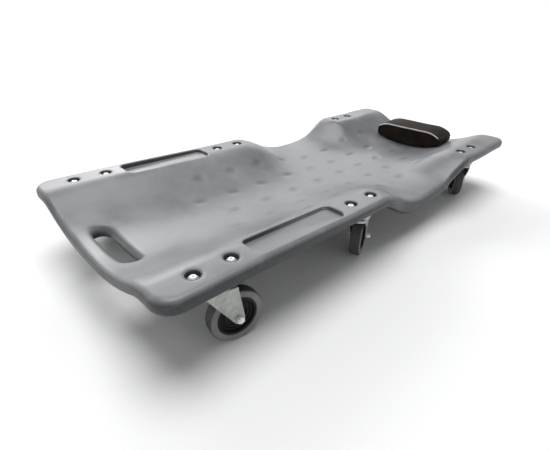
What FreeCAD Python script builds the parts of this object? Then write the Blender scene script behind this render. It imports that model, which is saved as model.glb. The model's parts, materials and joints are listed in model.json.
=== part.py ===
import FreeCAD, Part
import math
import os
import Sketcher
from FreeCAD import Placement, Rotation, Vector

# Mechanics creeper: a blow-moulded deck on six swivel castors, with a padded headrest.
# Frame: origin on the floor under the middle of the deck, +Y towards the head end,
# +X to the right of a person lying on it, +Z up. All sizes are in millimetres.

DIMENSIONS = [
    # deck
    ("deck_length", 1030.0), ("deck_half_width", 232.0), ("waist_half_width", 226.0),
    ("flange_top", 133.5), ("deck_thickness", 25.0), ("dish_half_width", 165.0),
    ("foot_corner_radius", 32.0), ("head_corner_radius", 24.0), ("outline_margin", 18.0),
    ("slot_half_length", 66.0), ("slot_radius", 15.5), ("slot_y", -468.6),
    ("tray_inner", 171.5), ("tray_outer", 218.0), ("tray_foot", -358.0), ("tray_head", -170.0),
    ("tray_depth", 10.5), ("tray_corner_radius", 12.0),
    # deck fasteners
    ("castor_x", 198.4), ("bolt_half_spacing", 29.6), ("recess_radius", 12.0), ("recess_depth", 9.5),
    ("bolt_radius", 3.0), ("bolt_clearance", 0.3), ("bolt_head_radius", 7.0), ("bolt_head_height", 5.4),
    ("nut_flats", 10.0), ("nut_height", 5.4), ("cup_wall", 1.3), ("cup_floor", 1.5),
    # castor mounting plate, bearing and kingpin
    ("plate_thickness", 3.0), ("plate_half_length", 40.0), ("plate_half_width", 18.0),
    ("race_radius", 20.4), ("race_depth", 3.0), ("ball_pitch_radius", 16.4), ("ball_radius", 2.5),
    ("ball_groove", 0.4), ("kingpin_radius", 5.0), ("kingpin_head_radius", 8.5), ("kingpin_head_depth", 3.6),
    # fork
    ("crown_thickness", 2.6), ("crown_top", 97.8), ("crown_radius", 23.2), ("rim_wall", 1.8), ("rim_height", 5.0),
    ("leg_inside", 13.2), ("leg_thickness", 2.2), ("leg_eye_radius", 8.6), ("leg_front", -16.5),
    ("leg_front_drop", 6.0), ("leg_back", 28.5),
    # wheel
    ("castor_trail", 29.0), ("wheel_radius", 42.0), ("tread_half_width", 10.2), ("tread_round", 2.6),
    ("hub_radius", 31.0), ("hub_rim_half_width", 9.4), ("hub_rim_depth", 4.2), ("hub_web_half", 3.4),
    ("hub_barrel_radius", 9.5), ("hub_barrel_half", 12.4), ("hub_ring_inner", 16.5), ("hub_ring_outer", 19.0),
    ("hub_ring_half", 6.4), ("sleeve_radius", 5.0), ("axle_radius", 3.0), ("running_gap", 0.08),
    ("axle_head_height", 4.0),
    # headrest
    ("rest_half_width", 101.0), ("rest_half_depth", 46.0), ("rest_x", -3.5), ("rest_y", 441.0),
    ("rest_turn", 4.0), ("rest_shoulder", 120.0), ("rest_crown", 138.5), ("rest_wedge", 5.5), ("rest_gap", 0.4),
    ("board_half_width", 72.0), ("board_half_depth", 30.0),
    ("board_bottom", 99.0), ("board_thickness", 9.0), ("piping_radius", 2.0), ("piping_half_width", 93.0),
    ("piping_level_half", 56.0), ("piping_drop", 11.5),
    ("screw_x", 48.0), ("screw_radius", 2.4), ("screw_head_radius", 5.2), ("screw_head_height", 3.2),
]
SIZE = dict(DIMENSIONS)

# name, kingpin y, and how far each side's castor has swung from straight behind its kingpin (degrees)
CASTOR_ROWS = [
    ("foot", -422.8, {"right": -10.0, "left": -24.0}),
    ("mid", -101.0, {"right": 25.0, "left": 12.0}),
    ("head", 339.7, {"right": 34.0, "left": 18.0}),
]
SIDES = {"right": 1.0, "left": -1.0}

# depth of the dish's middle below the flange tops, from the foot end to the head end
DISH_STATIONS = [(-515.0, 36.0), (-470.0, 43.0), (-350.0, 54.0), (-100.0, 61.0),
                 (150.0, 60.0), (300.0, 57.0), (404.0, 51.5), (515.0, 43.0)]
# depth of the side flanges below their own top: they drop away beside the sitter's waist
FLANK_STATIONS = [(-515.0, 0.0), (-61.0, 0.0), (-42.0, 4.0), (-22.0, 13.0), (0.0, 24.0), (22.0, 35.0),
                  (45.0, 43.0), (71.0, 49.0), (97.0, 51.8), (125.0, 51.3), (150.0, 50.0), (175.0, 47.0),
                  (200.0, 41.5), (223.0, 31.0), (250.0, 15.5), (271.0, 5.0), (292.0, 0.0), (382.0, 0.0),
                  (450.0, -2.5), (515.0, -2.5)]
# how far each skin's flanks are lowered besides: the top's sag by the castors and rise beside the waist,
# where the bottom's hang lower, so the rim is thicker there
SAG_STATIONS = [(-515.0, 0.0), (-400.0, 0.0), (-100.0, 4.0), (-60.0, 3.8), (-5.0, -2.2), (65.0, -2.4),
                (150.0, -1.5), (228.0, -2.0), (280.0, 0.0), (515.0, 0.0)]
HANG_STATIONS = [(-515.0, 0.0), (-62.0, 0.0), (-40.0, 4.0), (0.0, 7.0), (75.0, 6.0), (120.0, 3.0),
                 (200.0, 1.0), (260.0, 0.0), (515.0, 0.0)]
DISH_POWER = 2.2
DISH_BLEND = 0.1

os.makedirs("parts", exist_ok=True)
document = FreeCAD.newDocument("creeper")
sheet = document.addObject("Spreadsheet::Sheet", "Sizes")
for row, (alias, value) in enumerate(DIMENSIONS, start=1):
    sheet.set("A%d" % row, alias)
    sheet.set("B%d" % row, str(value))
    sheet.setAlias("B%d" % row, alias)
document.recompute()

finished = []


def cell(name):
    """The expression that reads one driving dimension."""
    return "Sizes." + name


def finish(item, label, placement=None):
    """Give a finished sub-part its label and place, and queue it for export."""
    if placement is not None:
        item.Placement = placement
    item.Label = label
    finished.append(item)
    return item


# ---------------------------------------------------------------- sketch and feature helpers

def new_body(name):
    return document.addObject("PartDesign::Body", name)


def origin_plane(body, role):
    return [item for item in body.Origin.OriginFeatures if item.Role == role][0]


def new_sketch(body, name, role, offset=None):
    """A sketch on one of the body's origin planes, lifted off it by an expression."""
    sketch = body.newObject("Sketcher::SketchObject", name)
    sketch.AttachmentSupport = [(origin_plane(body, role), "")]
    sketch.MapMode = "FlatFace"
    if offset is not None:
        sketch.setExpression("AttachmentOffset.Base.z", offset)
    return sketch


def set_value(sketch, constraint, source):
    """Bind a dimension to an expression, or keep a plain number."""
    if isinstance(source, str):
        sketch.setExpression("Constraints[%d]" % constraint, source)
    else:
        sketch.setDatum(constraint, FreeCAD.Units.Quantity(source, FreeCAD.Units.Length))


def evaluate(source):
    """The present value of an expression that is made of cells, numbers and signs."""
    if not isinstance(source, str):
        return float(source)
    total = 0.0
    for term in source.replace("- ", "+ -").split("+ "):
        term = term.strip()
        sign = -1.0 if term.startswith("-") else 1.0
        factors = term.lstrip("-").split("*")
        product = sign
        for factor in factors:
            factor = factor.strip()
            product *= SIZE[factor[6:]] if factor.startswith("Sizes.") else float(factor)
        total += product
    return total


def pin_vertex(sketch, geometry, corner, across, up):
    """Hold one sketch vertex at two coordinates."""
    for axis, source in (("DistanceX", across), ("DistanceY", up)):
        index = sketch.addConstraint(Sketcher.Constraint(axis, geometry, corner, evaluate(source)))
        if isinstance(source, str):
            set_value(sketch, index, source)


def polygon(sketch, points):
    """A closed outline of straight lines, with every corner dimensioned from the origin."""
    values = [Vector(evaluate(across), evaluate(up), 0) for across, up in points]
    first = sketch.GeometryCount
    for start, end in zip(values, values[1:] + values[:1]):
        sketch.addGeometry(Part.LineSegment(start, end), False)
    count = len(values)
    for index, (across, up) in enumerate(points):
        before = first + (index - 1) % count
        sketch.addConstraint(Sketcher.Constraint("Coincident", before, 2, first + index, 1))
        pin_vertex(sketch, first + index, 1, across, up)


def circle(sketch, across, up, radius):
    """A circle with a dimensioned centre and radius."""
    centre = Vector(evaluate(across), evaluate(up), 0)
    index = sketch.addGeometry(Part.Circle(centre, Vector(0, 0, 1), evaluate(radius)), False)
    pin_vertex(sketch, index, 3, across, up)
    datum = sketch.addConstraint(Sketcher.Constraint("Radius", index, evaluate(radius)))
    if isinstance(radius, str):
        set_value(sketch, datum, radius)


def pad(body, sketch, length, reverse=False, both=False):
    feature = body.newObject("PartDesign::Pad", sketch.Name + "_pad")
    feature.Profile = sketch
    feature.setExpression("Length", length)
    feature.Reversed = reverse
    feature.Midplane = both
    return feature


def revolve(body, sketch, axis):
    feature = body.newObject("PartDesign::Revolution", sketch.Name + "_turn")
    feature.Profile = sketch
    feature.ReferenceAxis = (sketch, [axis])
    feature.Angle = 360.0
    return feature


def cut_through(body, sketch):
    """Pocket through everything, in both directions."""
    feature = body.newObject("PartDesign::Pocket", sketch.Name + "_cut")
    feature.Profile = sketch
    feature.Type = "ThroughAll"
    feature.Midplane = True
    return feature


def turned(name, role, axis, points):
    """A body turned from one closed half-section."""
    body = new_body(name)
    sketch = new_sketch(body, name + "_section", role)
    polygon(sketch, points)
    revolve(body, sketch, axis)
    return body


def primitive(kind, name, expressions, base=None, angles=(0.0, 0.0, 0.0)):
    """A Part primitive whose sizes, and place if given, are expressions."""
    item = document.addObject(kind, name)
    for field, expression in expressions.items():
        item.setExpression(field, expression)
    item.Placement = Placement(Vector(0, 0, 0), Rotation(*angles))
    for axis, expression in zip("xyz", base or ()):
        item.setExpression("Placement.Base." + axis, expression)
    return item


def fuse(name, items):
    joined = document.addObject("Part::MultiFuse", name)
    joined.Shapes = items
    return joined


def cut(name, base, tool):
    feature = document.addObject("Part::Cut", name)
    feature.Base = base
    feature.Tool = tool
    return feature


def compound(name, items):
    """Separate identical solids that share one node."""
    group = document.addObject("Part::Compound", name)
    group.Links = items
    return group


def plain_feature(name, shape):
    item = document.addObject("Part::Feature", name)
    item.Shape = shape
    return item


# ---------------------------------------------------------------- the deck's contoured skin

def through_stations(stations, along):
    """A smooth curve through stations, with no overshoot between them (Fritsch-Carlson slopes)."""
    places = [station[0] for station in stations]
    values = [station[1] for station in stations]
    if along <= places[0]:
        return values[0]
    if along >= places[-1]:
        return values[-1]
    spans = [b - a for a, b in zip(places, places[1:])]
    rises = [(b - a) / span for a, b, span in zip(values, values[1:], spans)]
    slopes = [rises[0]]
    for left, right in zip(rises, rises[1:]):
        slopes.append(0.0 if left * right <= 0 else 2.0 * left * right / (left + right))
    slopes.append(rises[-1])
    index = max(i for i in range(len(spans)) if places[i] <= along)
    t = (along - places[index]) / spans[index]
    return ((2 * t ** 3 - 3 * t ** 2 + 1) * values[index] + (t ** 3 - 2 * t ** 2 + t) * spans[index] * slopes[index]
            + (3 * t ** 2 - 2 * t ** 3) * values[index + 1] + (t ** 3 - t ** 2) * spans[index] * slopes[index + 1])


def dish_rise(across):
    """How far the dish has risen from its middle (0) to its flange (1), eased into the flat flange."""
    u = abs(across) / SIZE["dish_half_width"]
    low = 1.0 - DISH_BLEND
    high = 1.0 + DISH_BLEND
    if u <= low:
        return u ** DISH_POWER
    if u >= high:
        return 1.0
    t = (u - low) / (high - low)
    slope = DISH_POWER * low ** (DISH_POWER - 1.0) * (high - low)
    return ((2 * t ** 3 - 3 * t ** 2 + 1) * low ** DISH_POWER + (t ** 3 - 2 * t ** 2 + t) * slope
            + (3 * t ** 2 - 2 * t ** 3))


def skin_height(across, along, lowered):
    """Height of the top skin, whose flanks are lowered by the sag; the bottom skin's are by the hang."""
    middle = through_stations(DISH_STATIONS, along)
    flank = through_stations(FLANK_STATIONS, along) + through_stations(lowered, along)
    return SIZE["flange_top"] - middle + (middle - flank) * dish_rise(across)


def skin_surface(lift, lowered):
    """The skin as one smooth surface over a grid that overhangs the deck's outline."""
    columns = 37
    rows = 49
    half_x = SIZE["deck_half_width"] + SIZE["outline_margin"]
    half_y = 0.5 * SIZE["deck_length"] + SIZE["outline_margin"]
    grid = []
    for i in range(columns):
        across = -half_x + 2.0 * half_x * i / (columns - 1)
        line = []
        for j in range(rows):
            along = -half_y + 2.0 * half_y * j / (rows - 1)
            line.append(Vector(across, along, skin_height(across, along, lowered) + lift))
        grid.append(line)
    surface = Part.BSplineSurface()
    surface.interpolate(grid)
    return surface


def solid_between(lower, upper):
    """The solid between two skins that share one rectangular outline."""
    faces = [lower.toShape(), upper.toShape()]
    for pick in (lambda s: s.vIso(s.bounds()[2]), lambda s: s.vIso(s.bounds()[3]),
                 lambda s: s.uIso(s.bounds()[0]), lambda s: s.uIso(s.bounds()[1])):
        faces.append(Part.makeRuledSurface(pick(lower).toShape(), pick(upper).toShape()))
    shell = Part.makeShell([face for item in faces for face in item.Faces])
    shell.sewShape()
    solid = Part.makeSolid(Part.makeShell(shell.Faces))
    if solid.Volume < 0:
        solid.reverse()
    return solid


def outline_prism():
    """Upright prism of the deck's plan: straight ends, round corners and a slight waist."""
    body = new_body("deck_outline")
    sketch = new_sketch(body, "deck_plan", "XY_Plane")
    half_length = "0.5 * " + cell("deck_length")
    corners = [(cell("deck_half_width"), "-" + half_length), (cell("deck_half_width"), -50.0),
               (cell("waist_half_width"), 20.0), (cell("waist_half_width"), 215.0),
               (cell("deck_half_width"), 285.0), (cell("deck_half_width"), half_length)]
    mirrored = [("-" + width, along) for width, along in reversed(corners)]
    polygon(sketch, corners + mirrored)
    base = pad(body, sketch, "2 * " + cell("flange_top"))
    document.recompute()
    half_y = 0.5 * SIZE["deck_length"]
    for name, side, radius in (("foot_corners", -1.0, "foot_corner_radius"), ("head_corners", 1.0, "head_corner_radius")):
        upright = []
        for index, edge in enumerate(base.Shape.Edges, start=1):
            middle = edge.CenterOfMass
            at_corner = abs(middle.y - side * half_y) < 0.1 and abs(abs(middle.x) - SIZE["deck_half_width"]) < 0.1
            if at_corner and abs(middle.z - SIZE["flange_top"]) < 0.1:
                upright.append("Edge%d" % index)
        rounded = body.newObject("PartDesign::Fillet", name)
        rounded.Base = (base, upright)
        rounded.setExpression("Radius", cell(radius))
        document.recompute()
        base = rounded
    return body


def slot_cutter():
    """The obround carrying slot at the foot end."""
    ends = []
    reach = cell("slot_half_length") + " - " + cell("slot_radius")
    for side, name in ((1.0, "right"), (-1.0, "left")):
        ends.append(primitive("Part::Cylinder", "slot_end_" + name,
                              {"Radius": cell("slot_radius"), "Height": "2 * " + cell("flange_top")},
                              ("(%s) * %g" % (reach, side), cell("slot_y"), "0")))
    middle = primitive("Part::Box", "slot_middle",
                       {"Length": "2 * (%s)" % reach, "Width": "2 * " + cell("slot_radius"),
                        "Height": "2 * " + cell("flange_top")},
                       ("-(%s)" % reach, cell("slot_y") + " - " + cell("slot_radius"), "0"))
    return fuse("hand_slot", ends + [middle])


def tray_cutter(name, side):
    """One tool tray beside the hips: a flat-floored pocket in the flange."""
    body = new_body(name)
    sketch = new_sketch(body, name + "_plan", "XY_Plane", cell("flange_top") + " - " + cell("tray_depth"))
    inner = cell("tray_inner")
    outer = cell("tray_outer")
    if side < 0:
        inner, outer = "-" + outer, "-" + inner
    polygon(sketch, [(inner, cell("tray_foot")), (outer, cell("tray_foot")),
                     (outer, cell("tray_head")), (inner, cell("tray_head"))])
    block = pad(body, sketch, "2 * " + cell("tray_depth"))
    document.recompute()
    upright = ["Edge%d" % index for index, edge in enumerate(block.Shape.Edges, start=1)
               if edge.BoundBox.ZLength > SIZE["tray_depth"]]
    rounded = body.newObject("PartDesign::Fillet", name + "_corners")
    rounded.Base = (block, upright)
    rounded.setExpression("Radius", cell("tray_corner_radius"))
    body.Tip = rounded
    return body


def bolt_places():
    """Every deck bolt: its name, place, and the height of the deck's skin there."""
    places = []
    for row, kingpin_y, _ in CASTOR_ROWS:
        for side, sign in SIDES.items():
            for end, shift in (("a", -1.0), ("b", 1.0)):
                along = kingpin_y + shift * SIZE["bolt_half_spacing"]
                across = sign * SIZE["castor_x"]
                top = skin_height(across, kingpin_y, SAG_STATIONS)
                places.append(("%s_%s_%s" % (row, side, end), Vector(across, along, top)))
    return places


def bolt_cutters():
    """Counterbores and through holes for the deck bolts."""
    cutters = []
    for name, place in bolt_places():
        cutters.append(primitive("Part::Cylinder", "recess_" + name,
                                 {"Radius": cell("recess_radius"), "Height": "3 * " + cell("recess_depth")},
                                 (repr(place.x), repr(place.y), "%r - %s" % (place.z, cell("recess_depth")))))
        cutters.append(primitive("Part::Cylinder", "hole_" + name,
                                 {"Radius": cell("bolt_radius") + " + " + cell("bolt_clearance"),
                                  "Height": cell("flange_top")},
                                 (repr(place.x), repr(place.y), "0.5 * " + cell("flange_top"))))
    return cutters


def rest_place():
    """Where the headrest's middle sits: it is screwed on a little askew."""
    return Placement(Vector(SIZE["rest_x"], SIZE["rest_y"], 0), Rotation(Vector(0, 0, 1), SIZE["rest_turn"]))


def screw_places():
    place = rest_place()
    return [("right", place.multVec(Vector(SIZE["screw_x"], 0, 0))),
            ("left", place.multVec(Vector(-SIZE["screw_x"], 0, 0)))]


def screw_cutters():
    """Clearance holes for the two headrest screws, from under the deck up to the board's top."""
    return [primitive("Part::Cylinder", "screw_hole_" + name,
                      {"Radius": cell("screw_radius") + " + " + cell("running_gap"),
                       "Height": cell("board_bottom") + " + " + cell("board_thickness")},
                      (repr(place.x), repr(place.y), "0"))
            for name, place in screw_places()]


def seat_cutters():
    """Flat seats on the deck's underside, one over each castor plate."""
    cutters = []
    for row, kingpin_y, _ in CASTOR_ROWS:
        for side, sign in SIDES.items():
            half_width = "(%s + 1.5)" % cell("plate_half_width")
            half_length = "(%s + 1.5)" % cell("plate_half_length")
            seat = "%s - %s" % (cell("flange_top"), cell("deck_thickness"))
            cutters.append(primitive("Part::Box", "seat_%s_%s" % (row, side),
                                     {"Length": "2 * " + half_width, "Width": "2 * " + half_length,
                                      "Height": cell("deck_thickness")},
                                     ("%g * %s - %s" % (sign, cell("castor_x"), half_width),
                                      "%g - %s" % (kingpin_y, half_length),
                                      "%s - %s" % (seat, cell("deck_thickness")))))
    return cutters


def make_deck(screw_holes):
    skin = plain_feature("deck_skin", solid_between(skin_surface(-SIZE["deck_thickness"], HANG_STATIONS),
                                                    skin_surface(0.0, SAG_STATIONS)))
    blank = document.addObject("Part::Common", "deck_blank")
    blank.Base = skin
    blank.Tool = outline_prism()
    cutters = [slot_cutter(), tray_cutter("right_tray", 1.0), tray_cutter("left_tray", -1.0)]
    cutters += bolt_cutters() + seat_cutters() + screw_holes
    return finish(cut("deck_cut", blank, fuse("deck_cutters", cutters)), "deck")


# ---------------------------------------------------------------- deck fasteners

def make_deck_bolts():
    """Pan-head screws with a cross recess; each stops level under its nut."""
    bolts = []
    tail = SIZE["flange_top"] - SIZE["deck_thickness"] - SIZE["plate_thickness"] - SIZE["nut_height"] - 0.6
    for name, place in bolt_places():
        seat = place.z - SIZE["recess_depth"] + SIZE["cup_floor"]
        length = seat - tail
        section = [(0.0, "-%g" % length), (cell("bolt_radius"), "-%g" % length), (cell("bolt_radius"), 0.0),
                   (cell("bolt_head_radius"), 0.0), (cell("bolt_head_radius"), "0.5 * " + cell("bolt_head_height")),
                   ("0.6 * " + cell("bolt_head_radius"), cell("bolt_head_height")), (0.0, cell("bolt_head_height"))]
        body = turned("bolt_" + name, "XZ_Plane", "V_Axis", section)
        sketch = new_sketch(body, "cross_" + name, "XY_Plane", cell("bolt_head_height"))
        arm = 0.7
        reach = 3.2
        polygon(sketch, [(arm, arm), (arm, reach), (-arm, reach), (-arm, arm), (-reach, arm), (-reach, -arm),
                         (-arm, -arm), (-arm, -reach), (arm, -reach), (arm, -arm), (reach, -arm), (reach, arm)])
        slot = body.newObject("PartDesign::Pocket", "cross_cut_" + name)
        slot.Profile = sketch
        slot.setExpression("Length", "0.5 * " + cell("bolt_head_height"))
        body.Placement = Placement(Vector(place.x, place.y, seat), Rotation(Vector(0, 0, 1), 31.0))
        bolts.append(body)
    return finish(compound("deck_bolt_group", bolts), "deck_bolts")


def make_cup_washers():
    """Black cups that line the counterbores and spread each bolt's load."""
    cups = []
    outer = cell("recess_radius") + " - " + cell("running_gap")
    inner = outer + " - " + cell("cup_wall")
    hole = cell("bolt_radius") + " + " + cell("bolt_clearance")
    height = cell("recess_depth") + " - 0.5"
    for name, place in bolt_places():
        body = turned("cup_" + name, "XZ_Plane", "V_Axis",
                      [(hole, 0.0), (outer, 0.0), (outer, height), (inner, height),
                       (inner, cell("cup_floor")), (hole, cell("cup_floor"))])
        body.Placement = Placement(Vector(place.x, place.y, place.z - SIZE["recess_depth"]), Rotation())
        cups.append(body)
    return finish(compound("cup_washer_group", cups), "cup_washers")


def hex_piece(name, height, bore=None):
    """A hexagonal head or nut, standing up from the origin."""
    across = "0.57735 * " + cell("nut_flats")
    prism = primitive("Part::Prism", name + "_hex", {"Circumradius": across, "Height": height})
    prism.Polygon = 6
    if bore is None:
        return prism
    hole = primitive("Part::Cylinder", name + "_bore", {"Radius": bore, "Height": height})
    return cut(name, prism, hole)


def make_lock_nuts():
    nuts = []
    under = SIZE["flange_top"] - SIZE["deck_thickness"] - SIZE["plate_thickness"] - SIZE["nut_height"]
    for name, place in bolt_places():
        nut = hex_piece("nut_" + name, cell("nut_height"), cell("bolt_radius") + " + " + cell("running_gap"))
        nut.Placement = Placement(Vector(place.x, place.y, under), Rotation(Vector(0, 0, 1), 12.0))
        nuts.append(nut)
    return finish(compound("lock_nut_group", nuts), "lock_nuts")


# ---------------------------------------------------------------- castors

PLATE_BOTTOM = cell("flange_top") + " - " + cell("deck_thickness") + " - " + cell("plate_thickness")


def make_plate(prefix, place):
    """Mounting plate with two bolt holes and the upper ball race pressed down round its centre."""
    body = new_body(prefix + "_plate")
    sketch = new_sketch(body, prefix + "_plate_plan", "XY_Plane", PLATE_BOTTOM)
    half_w = cell("plate_half_width")
    half_l = cell("plate_half_length")
    corner = 7.0
    polygon(sketch, [(half_w, "-%s + %g" % (half_l, corner)), (half_w, "%s - %g" % (half_l, corner)),
                     ("%s - %g" % (half_w, corner), half_l), ("-%s + %g" % (half_w, corner), half_l),
                     ("-" + half_w, "%s - %g" % (half_l, corner)), ("-" + half_w, "-%s + %g" % (half_l, corner)),
                     ("-%s + %g" % (half_w, corner), "-" + half_l), ("%s - %g" % (half_w, corner), "-" + half_l)])
    pad(body, sketch, cell("plate_thickness"))
    race = new_sketch(body, prefix + "_race_section", "XZ_Plane")
    race_floor = PLATE_BOTTOM + " - " + cell("race_depth")
    polygon(race, [(cell("ball_pitch_radius") + " - 5", PLATE_BOTTOM), (cell("ball_pitch_radius") + " - 5", race_floor),
                   (cell("race_radius"), race_floor), (cell("race_radius"), PLATE_BOTTOM)])
    revolve(body, race, "V_Axis")
    groove = new_sketch(body, prefix + "_groove_section", "XZ_Plane")
    circle(groove, cell("ball_pitch_radius"), race_floor + " + " + cell("ball_groove") + " - " + cell("ball_radius"),
           cell("ball_radius") + " + 0.05")
    document.recompute()
    channel = body.newObject("PartDesign::Groove", prefix + "_groove")
    channel.Profile = groove
    channel.ReferenceAxis = (groove, ["V_Axis"])
    channel.Angle = 360.0
    holes = new_sketch(body, prefix + "_plate_holes", "XY_Plane")
    circle(holes, 0.0, 0.0, cell("kingpin_radius") + " + " + cell("running_gap"))
    for sign in ("", "-"):
        circle(holes, 0.0, sign + cell("bolt_half_spacing"), cell("bolt_radius") + " + " + cell("bolt_clearance"))
    cut_through(body, holes)
    return finish(body, prefix + "_castor_plate", Placement(place, Rotation()))


def make_fork(prefix, placement):
    """Pressed fork: a crown with a raised rim round the balls, and two tapering legs."""
    body = new_body(prefix + "_fork")
    crown_floor = cell("crown_top") + " - " + cell("crown_thickness")
    outside = cell("leg_inside") + " + " + cell("leg_thickness")
    disc = new_sketch(body, prefix + "_crown_disc", "XY_Plane", crown_floor)
    circle(disc, 0.0, 0.0, cell("crown_radius"))
    pad(body, disc, cell("crown_thickness"))
    back = new_sketch(body, prefix + "_crown_back", "XY_Plane", crown_floor)
    polygon(back, [(outside, 0.0), (outside, cell("leg_back")), ("-1 * " + cell("leg_inside") + " - " + cell("leg_thickness"),
                   cell("leg_back")), ("-1 * " + cell("leg_inside") + " - " + cell("leg_thickness"), 0.0)])
    pad(body, back, cell("crown_thickness"))
    rim = new_sketch(body, prefix + "_rim_section", "XZ_Plane")
    inner = cell("crown_radius") + " - " + cell("rim_wall")
    rim_top = cell("crown_top") + " + " + cell("rim_height")
    polygon(rim, [(inner, crown_floor), (cell("crown_radius"), crown_floor), (cell("crown_radius"), rim_top),
                  (inner, rim_top)])
    revolve(body, rim, "V_Axis")

    eye = SIZE["leg_eye_radius"]
    axle = (SIZE["castor_trail"], SIZE["wheel_radius"])
    front = (SIZE["leg_front"], SIZE["crown_top"] - SIZE["leg_front_drop"])
    rear = (SIZE["leg_back"], SIZE["crown_top"])
    front_touch = tangent_point(front, axle, eye, -1.0)
    rear_touch = tangent_point(rear, axle, eye, 1.0)
    for side, start in (("right", cell("leg_inside")), ("left", "-1 * " + cell("leg_inside") + " - " + cell("leg_thickness"))):
        leg = new_sketch(body, "%s_leg_%s" % (prefix, side), "YZ_Plane", start)
        polygon(leg, [(cell("leg_front"), cell("crown_top")),
                      (cell("leg_front"), cell("crown_top") + " - " + cell("leg_front_drop")),
                      front_touch, (cell("castor_trail"), cell("wheel_radius")), rear_touch,
                      (cell("leg_back"), cell("crown_top"))])
        pad(body, leg, cell("leg_thickness"))
        boss = new_sketch(body, "%s_eye_%s" % (prefix, side), "YZ_Plane", start)
        circle(boss, cell("castor_trail"), cell("wheel_radius"), cell("leg_eye_radius"))
        pad(body, boss, cell("leg_thickness"))
    document.recompute()
    axle_hole = new_sketch(body, prefix + "_axle_hole", "YZ_Plane")
    circle(axle_hole, cell("castor_trail"), cell("wheel_radius"), cell("axle_radius") + " + " + cell("running_gap"))
    cut_through(body, axle_hole)
    pin_hole = new_sketch(body, prefix + "_kingpin_hole", "XY_Plane", crown_floor)
    circle(pin_hole, 0.0, 0.0, cell("kingpin_radius") + " + " + cell("running_gap"))
    cut_through(body, pin_hole)
    return finish(body, prefix + "_fork", placement)


def tangent_point(outside, centre, radius, turn):
    """Where a line from a point outside a circle touches it; turn picks the side."""
    along = outside[0] - centre[0]
    up = outside[1] - centre[1]
    bearing = math.atan2(up, along)
    opening = math.acos(radius / math.hypot(along, up))
    angle = bearing - turn * opening
    return (centre[0] + radius * math.cos(angle), centre[1] + radius * math.sin(angle))


def wheel_piece(name, label, placement, section):
    """A piece turned about the wheel's axle; section points are (across the wheel, radius)."""
    body = turned(name, "XY_Plane", "H_Axis", section)
    inner = Placement(Vector(0, SIZE["castor_trail"], SIZE["wheel_radius"]), Rotation())
    return finish(body, label, placement.multiply(inner))


def mirrored_section(half):
    """Close a half-section given from the middle outwards into one that is the same on both sides."""
    return half + [("-1 * " + x if isinstance(x, str) else -x, r) for x, r in reversed(half)]


def make_tyre(prefix, placement):
    inner = cell("hub_radius") + " + 0.03"
    round_in = cell("tread_half_width") + " - " + cell("tread_round")
    half = [(cell("tread_half_width") + " - 0.8", inner), (cell("tread_half_width"), inner + " + 1.5"),
            (cell("tread_half_width"), cell("wheel_radius") + " - " + cell("tread_round")),
            (round_in, cell("wheel_radius"))]
    other = [("-" + cell("tread_half_width") + " + " + cell("tread_round"), cell("wheel_radius")),
             ("-" + cell("tread_half_width"), cell("wheel_radius") + " - " + cell("tread_round")),
             ("-" + cell("tread_half_width"), inner + " + 1.5"), ("-" + cell("tread_half_width") + " + 0.8", inner)]
    return wheel_piece(prefix + "_tyre", prefix + "_tyre", placement, half + other)


def make_hub(prefix, placement):
    bore = cell("sleeve_radius") + " + " + cell("running_gap")
    rim_inner = cell("hub_radius") + " - " + cell("hub_rim_depth")
    half = [(cell("hub_barrel_half"), bore), (cell("hub_barrel_half"), cell("hub_barrel_radius")),
            (cell("hub_web_half"), cell("hub_barrel_radius")), (cell("hub_web_half"), cell("hub_ring_inner")),
            (cell("hub_ring_half"), cell("hub_ring_inner")), (cell("hub_ring_half"), cell("hub_ring_outer")),
            (cell("hub_web_half"), cell("hub_ring_outer")), (cell("hub_web_half"), rim_inner),
            (cell("hub_rim_half_width"), rim_inner), (cell("hub_rim_half_width"), cell("hub_radius"))]
    return wheel_piece(prefix + "_hub", prefix + "_wheel_hub", placement, mirrored_section(half))


def make_sleeve(prefix, placement):
    bore = cell("axle_radius") + " + " + cell("running_gap")
    half = [(cell("leg_inside"), bore), (cell("leg_inside"), cell("sleeve_radius"))]
    return wheel_piece(prefix + "_sleeve", prefix + "_axle_sleeve", placement, mirrored_section(half))


def make_axle_bolt(prefix, placement):
    """Hex-head axle bolt, pushed through from the fork's inner side."""
    outside = SIZE["leg_inside"] + SIZE["leg_thickness"]
    head = hex_piece(prefix + "_axle_head", cell("axle_head_height"))
    head.Placement = Placement(Vector(0, 0, -SIZE["axle_head_height"]), Rotation())
    shank = primitive("Part::Cylinder", prefix + "_axle_shank",
                      {"Radius": cell("axle_radius"),
                       "Height": "2 * (%s + %s) + %s + 1.4" % (cell("leg_inside"), cell("leg_thickness"), cell("nut_height"))})
    bolt = fuse(prefix + "_axle", [head, shank])
    inner = Placement(Vector(-outside, SIZE["castor_trail"], SIZE["wheel_radius"]), Rotation(Vector(0, 1, 0), 90.0))
    return finish(bolt, prefix + "_axle_bolt", placement.multiply(inner))


def make_axle_nut(prefix, placement):
    outside = SIZE["leg_inside"] + SIZE["leg_thickness"]
    nut = hex_piece(prefix + "_axle_nut_ring", cell("nut_height"), cell("axle_radius") + " + " + cell("running_gap"))
    inner = Placement(Vector(outside, SIZE["castor_trail"], SIZE["wheel_radius"]), Rotation(Vector(0, 1, 0), 90.0))
    return finish(nut, prefix + "_axle_nut", placement.multiply(inner))


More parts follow.
